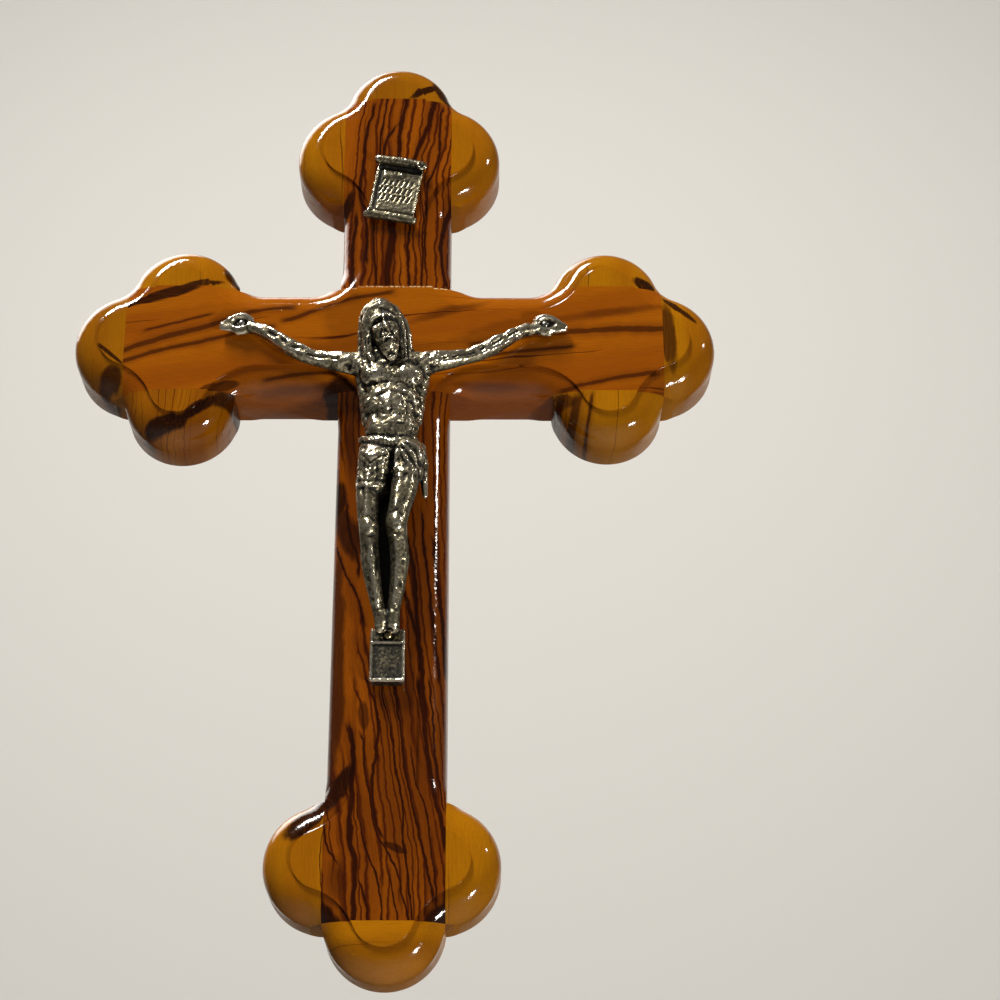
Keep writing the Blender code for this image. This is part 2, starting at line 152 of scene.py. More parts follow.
def round_bar(x, z, radius, y_low, y_high, facets, name=None):
    """A round bar that runs square to the wall."""
    put_down()
    bpy.ops.mesh.primitive_cylinder_add(
        vertices=facets,
        radius=radius,
        depth=y_high - y_low,
        location=(x, (y_low + y_high) / 2, z),
        rotation=(math.pi / 2, 0, 0),
    )
    return settle(bpy.context.object, name)


def join(pieces, name):
    pick_up(pieces[0])
    for piece in pieces:
        piece.select_set(True)
    bpy.ops.object.join()
    whole = bpy.context.object
    whole.name = name
    whole.data.name = name
    return whole


def hand_over(piece, node, material, crease):
    """Shades a piece, gives it its finish and puts it in its node's place."""
    pick_up(piece)
    bpy.ops.object.shade_smooth_by_angle(angle=math.radians(crease))
    piece.data.materials.clear()
    piece.data.materials.append(material)
    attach(piece, "root")
    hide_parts(node)


# Outline of the cross, in the plane of its face: each arm gives three lobes between two straight sides

class Lobe:
    """A lobe that rises outwards from a seam between two corners of a beam."""

    def __init__(self, name, first, last, rise):
        half = (last - first).length / 2
        along = (last - first).normalized()
        outward = Vector((along.y, -along.x))
        self.name = name
        self.first = first
        self.last = last
        self.rise = rise
        self.outward = outward
        self.radius = (rise**2 + half**2) / (2 * rise)
        self.centre = (first + last) / 2 + outward * (rise - self.radius)


class Side:
    """A straight side of a beam."""

    def __init__(self, point, outward):
        self.point = point
        self.outward = outward


def arm_elements(outward, reach, half_width, side_length, names, rises):
    left = Vector((-outward.y, outward.x))
    seam = outward * reach
    inner = outward * (reach - side_length)
    corner_in, corner_out = seam - left * half_width, seam + left * half_width
    first = Lobe(names[0], inner - left * half_width, corner_in, rises[0])
    end = Lobe(names[1], corner_in, corner_out, rises[1])
    last = Lobe(names[2], corner_out, inner + left * half_width, rises[2])
    return [Side(corner_in, -left), first, end, last, Side(corner_out, left)]


def cross_elements():
    plain, upright_half, arm_half = SIDE_LOBE_RISE, UPRIGHT_WIDTH / 2, ARM_WIDTH / 2
    right = ("right_arm_lower_lobe", "right_arm_end_lobe", "right_arm_upper_lobe")
    head = ("head_right_lobe", "head_top_lobe", "head_left_lobe")
    left = ("left_arm_upper_lobe", "left_arm_end_lobe", "left_arm_lower_lobe")
    foot = ("foot_left_lobe", "foot_bottom_lobe", "foot_right_lobe")
    foot_rises = (FOOT_LEFT_RISE, UPRIGHT_END_RISE, plain)
    arms = (
        ((1, 0), ARM_REACH, arm_half, SIDE_LOBE_LENGTH, right, (plain, ARM_END_RISE, plain)),
        ((0, 1), HEAD_REACH, upright_half, HEAD_SIDE_LOBE_LENGTH, head, (plain, UPRIGHT_END_RISE, plain)),
        ((-1, 0), ARM_REACH, arm_half, SIDE_LOBE_LENGTH, left, (plain, ARM_END_RISE, LEFT_ARM_LOWER_RISE)),
        ((0, -1), FOOT_REACH, upright_half, SIDE_LOBE_LENGTH, foot, foot_rises),
    )
    elements = []
    for outward, *rest in arms:
        elements += arm_elements(Vector(outward), *rest)
    return elements


def outward_at(element, point):
    if isinstance(element, Lobe):
        return (point - element.centre).normalized()
    return element.outward


def distance_from(element, point):
    if isinstance(element, Lobe):
        return (point - element.centre).length - element.radius
    return (point - element.point).dot(element.outward)


def true_corner(before, after):
    if isinstance(before, Lobe):
        return before.last
    if isinstance(after, Lobe):
        return after.first
    across, up = before.outward, after.outward
    return across * before.point.dot(across) + up * after.point.dot(up)


def wheel_centre(before, after):
    """The middle of the cutter's guide wheel where it touches both sides of an inner corner."""
    corner = true_corner(before, after)
    centre = corner + (outward_at(before, corner) + outward_at(after, corner)) * BEARING_RADIUS
    for _ in range(WHEEL_SETTLING):
        for element in (before, after):
            centre += outward_at(element, centre) * (BEARING_RADIUS - distance_from(element, centre))
    return centre


def angle_of(vector):
    return math.atan2(vector.y, vector.x)


def arc(centre, radius, start, sweep, steps):
    angles = [start + sweep * k / steps for k in range(steps + 1)]
    return [centre + Vector((math.cos(a), math.sin(a))) * radius for a in angles]


def moulding_outline(inset):
    elements = cross_elements()
    count = len(elements)
    wheels = [wheel_centre(elements[i - 1], elements[i]) for i in range(count)]
    points = []
    for i, element in enumerate(elements):
        wheel, before = wheels[i], elements[i - 1]
        enter = angle_of(-outward_at(before, wheel))
        leave = angle_of(-outward_at(element, wheel))
        sweep = -((enter - leave) % (2 * math.pi))
        points += arc(wheel, BEARING_RADIUS + inset, enter, sweep, CORNER_STEPS)
        if isinstance(element, Lobe):
            start = angle_of(wheel - element.centre)
            stop = angle_of(wheels[(i + 1) % count] - element.centre)
            sweep = (stop - start) % (2 * math.pi)
            points += arc(element.centre, element.radius - inset, start, sweep, LOBE_STEPS)[1:-1]
    return points


# Wood: blocks cut to shape, then moulded all round

def inset_rings(levels):
    """Insets the chosen face ring by ring. Levels list how far in and how far out each ring lies."""
    for (inset, height), (next_inset, next_height) in zip(levels, levels[1:]):
        bpy.ops.mesh.inset(
            thickness=next_inset - inset, depth=next_height - height, use_even_offset=True, use_boundary=True
        )


def choose_end_face(piece, side):
    """In edit mode, selects only the outermost flat end on one side: -1 the front, 1 the back."""
    bpy.ops.mesh.select_all(action="DESELECT")
    bpy.ops.object.mode_set(mode="OBJECT")
    ends = [p for p in piece.data.polygons if len(p.vertices) > END_CORNERS]
    max(ends, key=lambda p: p.center.y * side).select = True
    bpy.ops.object.mode_set(mode="EDIT")


def quarter_levels(radius, rings, lead_in, base):
    turns = [math.pi / 2 * k / rings for k in range(1, rings + 1)]
    return [(-lead_in, base)] + [(radius * (1 - math.cos(a)), base + radius * math.sin(a)) for a in turns]


def moulding():
    """All that the moulding cutter leaves standing, front and back."""
    outline = moulding_outline(-LEAD_IN)
    put_down()
    bpy.ops.mesh.primitive_circle_add(vertices=len(outline), radius=ARM_REACH, fill_type="NGON")
    body = bpy.context.object
    body.name = "moulding"
    for vertex, point in zip(body.data.vertices, outline):
        vertex.co = (point.x, -BACK_EASE, point.y)
    pick_up(body)
    bpy.ops.object.mode_set(mode="EDIT")
    bpy.ops.mesh.select_all(action="SELECT")
    start = WOOD_THICKNESS - EDGE_STEP - ROUND_OVER
    bpy.ops.mesh.extrude_region_move(TRANSFORM_OT_translate={"value": (0, BACK_EASE - start, 0)})
    bpy.ops.mesh.select_all(action="SELECT")
    bpy.ops.mesh.normals_make_consistent(inside=False)
    choose_end_face(body, -1)
    front = quarter_levels(ROUND_OVER, ROUND_OVER_RINGS, LEAD_IN, start)
    inset_rings(front + [(ROUND_OVER + inwards, WOOD_THICKNESS - down) for inwards, down in STEP_RINGS])
    choose_end_face(body, 1)
    inset_rings(quarter_levels(BACK_EASE, BACK_RINGS, LEAD_IN, -BACK_EASE))
    bpy.ops.object.mode_set(mode="OBJECT")
    return body


def upright_block():
    half, half_lap = UPRIGHT_WIDTH / 2, ARM_WIDTH / 2 + SEAM
    beam = block((-half, FRONT - PROUD, -FOOT_REACH), (half, PROUD, HEAD_REACH), "upright_beam_olive")
    cut(beam, block((-2 * half, FRONT - 2 * PROUD, -half_lap), (2 * half, -LAP_DEPTH, half_lap)))
    hole_z = HEAD_REACH - HANGING_HOLE_FROM_TOP
    return beam, round_bar(0, hole_z, HANGING_HOLE_RADIUS, -HANGING_HOLE_DEPTH, PROUD, HOLE_FACETS)


def cross_block():
    half, half_lap = ARM_WIDTH / 2, UPRIGHT_WIDTH / 2 + SEAM
    beam = block((-ARM_REACH, FRONT - PROUD, -half), (ARM_REACH, PROUD, half), "cross_beam_olive")
    return cut(beam, block((-half_lap, -LAP_DEPTH - SEAM, -2 * half), (half_lap, 2 * PROUD, 2 * half)))


def lobe_block(lobe):
    disc = round_bar(
        lobe.centre.x, lobe.centre.y, lobe.radius, FRONT - PROUD, PROUD, LOBE_FACETS, f"{lobe.name}_olive"
    )
    far = [lobe.first + lobe.outward * (lobe.rise + PROUD), lobe.last + lobe.outward * (lobe.rise + PROUD)]
    near = [lobe.first + lobe.outward * SEAM, lobe.last + lobe.outward * SEAM]
    xs, zs = [p.x for p in far + near], [p.y for p in far + near]
    keep = block((min(xs), FRONT - 2 * PROUD, min(zs)), (max(xs), 2 * PROUD, max(zs)))
    return cut(disc, keep, "INTERSECT")


def nail_bores():
    radius, top, bottom = NAIL_RADIUS + NAIL_FIT, FRONT - 2 * PROUD, FRONT + NAIL_DEPTH + NAIL_SPARE
    bores = [round_bar(x, z, radius, top, bottom, HOLE_FACETS) for x, z in NAIL_PLACES.values()]
    return join(bores, "nail_bores")


# Finishes

class Tap:
    """One output in a material's node tree, so that shader maths is written as sums."""

    def __init__(self, tree, socket):
        self.tree = tree
        self.socket = socket

    def add(self, kind, settings, inputs, output=0):
        node = self.tree.nodes.new(kind)
        for key, value in settings.items():
            if key == "stops":
                set_stops(node, value)
            else:
                setattr(node, key, value)
        for key, value in inputs.items():
            socket = node.inputs[key]
            if isinstance(value, Tap):
                self.tree.links.new(value.socket, socket)
            else:
                socket.default_value = value
        return Tap(self.tree, node.outputs[output])

    def maths(self, operation, *others):
        return self.add("ShaderNodeMath", {"operation": operation}, dict(enumerate((self, *others))))

    def __add__(self, other):
        return self.maths("ADD", other)

    def __mul__(self, other):
        return self.maths("MULTIPLY", other)

    __rmul__ = __mul__

    def __sub__(self, other):
        return self.maths("SUBTRACT", other)

    def __rsub__(self, other):
        return self.maths("MULTIPLY", -1.0) + other

    def __truediv__(self, other):
        return self.maths("DIVIDE", other)

    def __abs__(self):
        return self.maths("ABSOLUTE")

    def least(self, other):
        return self.maths("MINIMUM", other)

    def most(self, other):
        return self.maths("MAXIMUM", other)

    def fade(self, start, end, low=0.0, high=1.0):
        """Runs smoothly from low at start to high at end."""
        settings = {"interpolation_type": "SMOOTHSTEP"}
        return self.add("ShaderNodeMapRange", settings, {0: self, 1: start, 2: end, 3: low, 4: high})

    def curve(self, stops):
        return self.add("ShaderNodeFloatCurve", {"stops": stops}, {1: self})

    def blend(self, colour, other):
        """Mixes two colours by this mask."""
        settings = {"data_type": "RGBA", "clamp_factor": True}
        return self.add("ShaderNodeMix", settings, {0: self, 6: paint(colour), 7: paint(other)}, output=2)


def paint(colour):
    return colour if isinstance(colour, Tap) else (*colour, 1.0)


def set_stops(node, stops):
    """Sets a float curve's points, or a ramp's places and colours."""
    if node.bl_idname == "ShaderNodeFloatCurve":
        points = node.mapping.curves[0].points
        while len(points) > 2:
            points.remove(points[1])
        points[0].location, points[1].location = stops[0], stops[-1]
        for stop in stops[1:-1]:
            points.new(*stop)
        node.mapping.update()
        return
    elements = node.color_ramp.elements
    while len(elements) < len(stops):
        elements.new(0.5)
    for element, (place, colour) in zip(elements, stops):
        element.position, element.color = place, (*colour, 1.0)


def new_finish(name):
    """A material with its shader, and a tap on the object's own coordinates in millimetres.

    Sockets go by number: output 3 is the object's place, and input 3 the size that it is scaled by.
    """
    material = bpy.data.materials.new(name)
    material.use_nodes = True
    tree = material.node_tree
    shader = tree.nodes["Principled BSDF"]
    start = Tap(tree, None)
    place = start.add("ShaderNodeTexCoord", {}, {}, output=3)
    place = place.add("ShaderNodeVectorMath", {"operation": "SCALE"}, {0: place, 3: 1.0 / MM})
    return material, shader, place


def axes(place):
    """The three coordinates of a place, as taps."""
    split = place.add("ShaderNodeSeparateXYZ", {}, {0: place}).socket.node
    return [Tap(place.tree, output) for output in split.outputs]


def cloud(tap, x, y, z, detail=2.0, roughness=0.5):
    """Soft noise, from 0 to 1, at a place given by three taps or numbers."""
    where = tap.add("ShaderNodeCombineXYZ", {}, {0: x, 1: y, 2: z})
    return tap.add(
        "ShaderNodeTexNoise", {}, {"Vector": where, "Scale": 1.0, "Detail": detail, "Roughness": roughness}
    )


def joined(shader, socket, tap):
    tap.tree.links.new(tap.socket, shader.inputs[socket])


def with_bump(shader, height, distance):
    bump = height.add("ShaderNodeBump", {}, {"Strength": 1.0, "Distance": distance, "Height": height})
    joined(shader, "Normal", bump)


def vein(along, across, half_width, points, ragged):
    """One dark vein down a line of (along, across) points in millimetres. Gives its core and its halo."""
    first, last = points[0][0], points[-1][0]
    off = abs(across - flow(along, points)) / (half_width * ragged)
    t = (along - first) / (last - first)
    ends = t.least(1 - t) * (abs(last - first) / 1.6)
    core = off.fade(1.25, 0.62).least(ends.fade(0.0, 1.0))
    halo = off.fade(3.4, 0.9).least(ends.fade(-0.5, 1.2))
    return core, halo


def flow(along, points):
    """How far across a line of (along, across) points lies, at each place along the grain."""
    first, last = points[0][0], points[-1][0]
    sides = [p[1] for p in points]
    low, span = min(sides) - 0.5, max(sides) - min(sides) + 1.0
    t = (along - first) / (last - first)
    return t.curve([((a - first) / (last - first), (s - low) / span) for a, s in points]) * span + low


def stain(x, z, centre, size, turn, wobble, soft):
    """A dark patch in an oval round a centre, in millimetres."""
    c, s = math.cos(math.radians(turn)), math.sin(math.radians(turn))
    dx, dz = x - centre[0], z - centre[1]
    u = (dx * c + dz * s) / size[0]
    v = (dz * c - dx * s) / size[1]
    away = (u * u + v * v).maths("SQRT") + wobble
    return away.fade(1.0 + soft, 1.0 - soft)


# Colour of the stains, and of the painted shadow under the figure's arm
STAIN_AND_SHADOW_COLOUR = (0.014, 0.0022, 0.0004)
VEIN_COLOUR = (0.026, 0.0032, 0.0004)
LINE_COLOUR = (0.055, 0.0062, 0.0005)
FINE_LINE_COLOUR = (0.15, 0.030, 0.001)
HALO_COLOUR = (0.11, 0.021, 0.001)
FIBRE_COLOUR = (0.05, 0.012, 0.0006)
# Colour of the painted highlight along the seam above the crossing
SEAM_GLINT_COLOUR = (0.75, 0.55, 0.28)
CRISP_EDGE = 0.22
SOFT_EDGE = 0.7
FAINT = 0.5  # stains up to this strength have soft edges
WALL_TOP = -7.0  # the varnish gets duller from here down the side walls
WALL_FOOT = -3.5
WALL_DULLNESS = 0.28
VARNISH_IOR = 1.52


def olive_wood(
    name,
    seed,
    light,
    mid,
    grain="z",
    slope=0.0,
    bend=None,
    line_gap=1.7,
    line_width=0.2,
    line_share=0.1,
    fine_share=0.06,
    waviness=0.6,
    jag=0.3,
    veins=(),
    vein_strength=0.97,
    stains_and_shadow=(),
    clear=(),
    seam_glint=None,
):
    """Varnished olive wood. Grain is the axis that it runs along, and bend the line that its rings follow."""
    material, shader, place = new_finish(name)
    x, y, z = axes(place)
    along, across = (z, x) if grain == "z" else (x, z)
    sway = cloud(x, along * 0.045, across * 0.09 + seed, y * 0.05, detail=1.0) - 0.5
    kink = cloud(x, along * 0.16, across * 0.22 + seed, y * 0.12 + 7.0, detail=1.0) - 0.5
    jags = (cloud(x, along * 0.5, across * 0.5, y * 0.4 + seed, detail=2.0) - 0.5) * jag
    field = across + along * slope + y * 0.12 + sway * (7.0 * waviness) + kink * (1.6 * waviness) + jags
    if bend is not None:
        field = field - flow(along, bend)
    band = cloud(x, along * 0.012 + seed, field * 0.22, y * 0.02, detail=1.5)
    fibre = cloud(x, along * 0.35, across * 6.0, y * 6.0 + seed, detail=3.0, roughness=0.6)
    ground = band.fade(0.35, 0.68).blend(light, mid)
    ragged = cloud(x, along * 0.35, across * 0.5, y * 0.4 + seed) + 0.55
    spread = field / line_gap + cloud(x, field * 0.35, along * 0.01, seed) * 3.0
    line_off = abs(spread.maths("FRACT") - 0.5) * (2.0 * line_gap) * ragged
    lines = line_off.fade(line_width * 1.4, line_width * 0.2)
    here = cloud(x, along * 0.035, field * 0.45, seed + 3.0, detail=1.0)
    wobble = (cloud(x, along * 0.22, across * 0.55, y * 0.25 + seed, detail=3.0) - 0.5) * 1.1
    shown = here.fade(0.62 - 0.24 * line_share, 0.70 - 0.24 * line_share)
    for centre, size in clear:
        shown = shown * (1 - stain(x, z, centre, size, 0, wobble * 0.3, CRISP_EDGE))
    lines = lines * shown
    fine = (abs((field * 2.3 + kink * 2.0).maths("FRACT") - 0.5) * 2.0).fade(0.75, 0.2)
    ground = (fine * here.fade(0.3, 0.6) * fine_share).blend(ground, FINE_LINE_COLOUR)
    core, halo = None, lines * 0.6
    for half_width, points in veins:
        one, round_it = vein(along, across + kink * 0.5 + jags, half_width, points, ragged)
        core, halo = one if core is None else core.most(one), halo.most(round_it * 0.75)
    core = lines * 0.0 if core is None else core * vein_strength
    black = lines * 0.0
    # Stains; one on the arm is partly a painted shadow.
    for strength, centre, size, turn in stains_and_shadow:
        patch = stain(x, z, centre, size, turn, wobble, CRISP_EDGE if strength > FAINT else SOFT_EDGE)
        black = black.most(patch * strength * fibre.fade(0.25, 0.6, 0.72, 1.0))
        halo = halo.most(patch)
    colour = (halo * 0.55).blend(ground, HALO_COLOUR)
    colour = (lines * 0.92).blend(colour, LINE_COLOUR)
    colour = core.blend(colour, VEIN_COLOUR)
    colour = black.blend(colour, STAIN_AND_SHADOW_COLOUR)
    colour = (fibre.fade(0.25, 0.75) * 0.20).blend(colour, FIBRE_COLOUR)
    # A painted highlight: a pale, broken line along the seam above the crossing, where light catches the
    # glue.
    if seam_glint is not None:
        seam_z, half_run = seam_glint
        glint_breaks = cloud(x, x * 2.6, z * 3.0, seed, detail=2.0).fade(0.42, 0.6)
        seam_glint_mask = abs(z - seam_z).fade(0.22, 0.06) * abs(x).fade(half_run, half_run - 0.4) * glint_breaks
        colour = seam_glint_mask.blend(colour, SEAM_GLINT_COLOUR)
    joined(shader, "Base Color", colour)
    duller = y.fade(WALL_TOP, WALL_FOOT) * WALL_DULLNESS
    joined(shader, "Roughness", cloud(x, x * 0.5, y * 0.5, z * 0.5).fade(0.3, 0.7, 0.05, 0.12) + duller)
    shader.inputs["IOR"].default_value = VARNISH_IOR
    brushed = cloud(x, x * 0.55, y * 0.8, z * 0.55 + seed, detail=2.0)
    bristle = cloud(x, x * 2.2, y * 2.2, z * 2.2 + seed, detail=1.0)
    with_bump(shader, brushed + bristle * 0.28 + core * -0.06, 0.05 * MM)
    return material


# Castings: a rough form of balls, limbs and slabs is made one skin, then worked with raised and sunk lines.
# Places are (right, up, height above the wood) in millimetres.

FIGURE_VOXEL = 0.17 * MM
FIGURE_GAP = 0.04 * MM  # between the back of the casting and the wood
BALL_SEGMENTS = 24
BALL_RINGS = 14
LIMB_SIDES = 20
HEAD_TILT = 12.0
HEAD_MIDDLE = (-1.35, -1.35)


def spot(x, y, height):
    return Vector((x * MM, FRONT - height * MM, y * MM))


def ball(centre, radii, tilt=0.0):
    rx, ry, rz = radii
    put_down()
    bpy.ops.mesh.primitive_uv_sphere_add(
        segments=BALL_SEGMENTS,
        ring_count=BALL_RINGS,
        radius=MM,
        location=spot(*centre),
        rotation=(0, -math.radians(tilt), 0),
        scale=(rx, rz, ry),
    )
    return bpy.context.object


def limb(stations):
    """Tapered runs between stations, each (right, up, height, radius), with a ball at every joint."""
    pieces = [ball(s[:3], (s[3],) * 3) for s in stations]
    for one, other in zip(stations, stations[1:]):
        start, end = spot(*one[:3]), spot(*other[:3])
        put_down()
        bpy.ops.mesh.primitive_cone_add(
            vertices=LIMB_SIDES,
            radius1=one[3] * MM,
            radius2=other[3] * MM,
            depth=(end - start).length,
            location=(start + end) / 2,
            rotation=(end - start).to_track_quat("Z", "Y").to_euler(),
        )
        pieces.append(bpy.context.object)
    return pieces


def slab(low, high):
    """A flat-sided block between two corners, each (right, up, height)."""
    low, high = spot(*low), spot(*high)
    return [block(map(min, low, high), map(max, low, high))]


HEAD_BALLS = (
    ((-1.9, 0.3, 4.5), (3.15, 3.85, 3.3), HEAD_TILT),
    ((-1.0, -2.5, 5.7), (2.1, 3.3, 2.5), HEAD_TILT),
    ((-0.5, -4.9, 6.35), (1.5, 1.9, 1.5), HEAD_TILT),
    ((-0.1, -6.4, 6.1), (0.85, 1.0, 0.8), HEAD_TILT),
    ((-2.15, -2.6, 7), (0.8, 0.8, 0.7), 0),
    ((0.15, -3.05, 7), (0.8, 0.8, 0.7), 0),
)
HEAD_LIMBS = (
    ((-2.9, -0.4, 3.4, 1.2), (-3, -3.6, 3.3, 1.3), (-2.6, -5.8, 3, 1.2)),
    ((-0.6, -6.8, 3, 1.9), (-1.1, -3.6, 4, 1.8)),
    ((-1.45, -0.5, 7.75, 0.36), (-1.2, -1.6, 8.25, 0.42), (-0.98, -2.5, 8.6, 0.52)),
    ((-1.55, -2.62, 8, 0.34), (-0.98, -2.62, 8.3, 0.4), (-0.42, -2.85, 8, 0.34)),
    ((-1.45, -3.85, 7.75, 0.3), (-0.75, -3.92, 8.05, 0.3), (-0.05, -4.15, 7.75, 0.3)),
    ((-1.3, -4.25, 7.65, 0.3), (-0.66, -4.38, 7.9, 0.34), (-0.1, -4.5, 7.65, 0.3)),
    ((-0.9, -3.35, 7.9, 0.28), (-1.6, -3.7, 7.45, 0.27), (-1.95, -4.3, 6.9, 0.24)),
    ((-0.75, -3.4, 7.9, 0.28), (0.05, -4, 7.45, 0.27), (0.5, -4.7, 6.9, 0.24)),
    ((-4.35, 0.6, 4.6, 1), (-4.5, -2.4, 4.2, 1), (-4.55, -5.6, 3.8, 0.95), (-4.25, -7.6, 4.3, 0.85),
        (-3.5, -8.9, 4.8, 0.5)),
    ((-3.7, 1.5, 5.5, 1), (-4, -0.8, 5.8, 0.9), (-3.95, -3.4, 5.2, 0.8), (-3.7, -5.6, 4.7, 0.8),
        (-3, -7.8, 4.8, 0.6)),
    ((0, 1.9, 4.8, 1), (1.4, 0, 4.6, 0.9), (2.05, -2.4, 4.4, 0.95), (2.3, -5.2, 3.9, 0.9),
        (2.4, -7.4, 4.2, 0.6)),
    ((-0.1, 1.6, 5.7, 0.9), (1.1, -0.5, 5.6, 0.8), (1.6, -3, 5, 0.75), (1.9, -5.4, 4.4, 0.7),
        (1.7, -7.4, 4.6, 0.45)),
    ((-4.1, 0.9, 5.2, 0.45), (-3.3, 1.8, 6.6, 0.5), (-2, 2.2, 7.4, 0.5), (-0.7, 1.7, 6.8, 0.5),
        (0.4, 0.7, 5.4, 0.45)),
    ((-4.4, 0.4, 5.1, 0.45), (-3.3, 1.3, 7, 0.45), (-1.8, 1.5, 7.7, 0.45), (-0.4, 1, 7.1, 0.45),
        (0.7, 0.2, 5.4, 0.45)),
    ((-3.9, -6.2, 3, 1.1), (-2.4, -5, 3.2, 1.9), (0.6, -5.2, 3, 1.7)),
)
TRUNK_BALLS = (
    ((0, -9.2, 3), (4.9, 4.4, 2.7), 0),
    ((-2.45, -8.9, 4.4), (2.5, 2.1, 1.6), 10),
    ((2.3, -9.1, 4.4), (2.5, 2.1, 1.6), -10),
    ((0, -13.2, 3.1), (4.5, 4.4, 2.6), 0),
    ((0, -14, 3.8), (3, 3.6, 2.2), 0),
    ((0, -17.4, 3.1), (4.15, 3.9, 2.6), 0),
    ((-4.9, -6.9, 3.1), (1.5, 1.7, 1.7), 0),
    ((4.8, -7, 3.1), (1.5, 1.7, 1.7), 0),
)
TRUNK_LIMBS = (
    ((-6, -6.3, 2.9, 1.75), (-0.6, -5.6, 3.1, 2), (5.4, -6.3, 2.9, 1.75)),
    ((-4.7, -8.2, 2.6, 1.2), (-4.05, -12, 2.6, 1.1), (-3.6, -16, 2.6, 1.05)),
    ((4.6, -8.6, 2.6, 1.2), (4, -12.2, 2.6, 1.1), (3.6, -16, 2.6, 1.05)),
)
ARM_STATIONS = (
    (
        (-6, -6.3, 3, 1.8), (-7.8, -6, 3, 1.65), (-9.8, -5.6, 2.7, 1.4), (-11.9, -5.1, 2.4, 1.15),
        (-13.6, -4.4, 2.3, 1.3), (-16, -3, 2.2, 1.35), (-19, -0.8, 1.9, 1.1), (-21.4, 0.6, 1.6, 0.95),
    ),
    (
        (5.4, -6.1, 3, 1.8), (7.2, -5.8, 3, 1.6), (9, -5.4, 2.7, 1.4), (11.2, -4.8, 2.4, 1.15),
        (13, -4.1, 2.3, 1.3), (15.6, -2.8, 2.2, 1.35), (18.4, -0.8, 1.9, 1.1), (20.8, 0.6, 1.6, 0.95),
    ),
)
LEG_STATIONS = (
    (
        (-2.4, -21.5, 3.2, 2.45), (-2.9, -25, 3.6, 2.15), (-3.25, -29, 4, 1.85), (-3.2, -32.6, 4.4, 1.55),
        (-3, -34.6, 4.7, 1.5), (-2.9, -36.8, 4.2, 1.35), (-2.7, -39.6, 3.7, 1.4), (-2.1, -43.4, 3.2, 1.15),
        (-1.4, -46.8, 2.8, 0.95), (-0.9, -48.6, 2.7, 1),
    ),
    (
        (2.2, -21.5, 3.3, 2.5), (2.4, -24.8, 3.9, 2.25), (2.1, -28.4, 4.7, 1.95), (1.4, -32.2, 5.4, 1.65),
        (1.1, -34.2, 5.6, 1.6), (1.4, -36.6, 4.8, 1.4), (1.7, -39.4, 4.1, 1.4), (1.4, -43.2, 3.5, 1.15),
        (0.9, -46.6, 3, 0.95), (0.7, -48.6, 2.8, 1),
    ),
)
FEET_LIMBS = (
    ((-0.9, -47.6, 2.9, 1), (-1, -49.4, 2.5, 0.95)),
    ((0.8, -47.6, 3, 1), (0.8, -49.4, 2.6, 1)),
    ((-0.9, -48.7, 2.3, 0.95), (0.8, -48.7, 2.3, 0.95)),
)
WEBS = ((-27.0, 2.6), (-33.0, 1.9), (-39.0, 1.9), (-44.0, 1.2))
WEB_MIDDLE = -0.6
WEB_HALF_LENGTH = 3.2
WEB_HEIGHT = 1.6
UNDER = -1.0  # how far a rough form reaches below the front of the wood, to be cut away
CLOTH_BALLS = (
    ((0.1, -21.2, 3.2), (4.75, 2.3, 2.8), 0),
    ((-2.2, -23.4, 4.4), (2.7, 3.1, 2.1), 6),
    ((2.6, -22.6, 4.6), (2.6, 2.7, 2), -14),
)
CLOTH_LIMBS = (
    ((-2.2, -20.8, 3.1, 2.3), (-2.8, -27.3, 3.7, 2.4)),
    ((2.2, -20.8, 3.1, 2.4), (2.6, -25, 4, 2.45)),
    ((-4.5, -19.4, 3.2, 0.55), (-2.2, -20.3, 5, 0.62), (0.6, -20.9, 5.6, 0.66), (1.6, -21.3, 5.5, 0.6)),
    ((1, -20.7, 5.5, 0.62), (2.8, -20.3, 5, 0.62), (4.7, -20.7, 3.4, 0.55)),
    ((4.3, -20.6, 3, 0.9), (4.9, -23.4, 2.9, 0.75), (5, -26, 2.5, 0.55), (5.2, -28.2, 2, 0.4)),
)
PALMS = ((-1, (-23.8, 1.5, 1.45)), (1, (23.6, 1.4, 1.45)))
PALM_SIZE = (2.1, 1.95, 0.9)
FINGER_SPREADS = (0.85, 0.25, -0.35, -0.95)
REST_HALF_WIDTH = 2.52
REST_TOP = -49.3
REST_STEP = -51.5
REST_BOTTOM = -57.6
REST_STRIP_HEIGHT = 1.55
REST_PLATE_HEIGHT = 2.3


def hand(side, palm):
    x, y, z = palm
    pieces = [ball(palm, PALM_SIZE)]
    pieces += limb([(x - side * 2.6, y - 1.0, z + 0.1, 0.95), (x, y - 0.2, z, 0.85)])
    for spread in FINGER_SPREADS:
        pieces += limb(
            [
                (x + side * 0.5, y + spread, z - 0.1, 0.62),
                (x + side * 2.0, y + 0.75 * spread - 0.1, z - 0.1, 0.55),
                (x + side * 3.15, y + 0.35 * spread - 0.35, z - 0.2, 0.40),
            ]
        )
    pieces += limb([(x - side * 1.2, y - 1.0, z, 0.6), (x + side * 0.6, y - 1.5, z - 0.1, 0.5)])
    return pieces


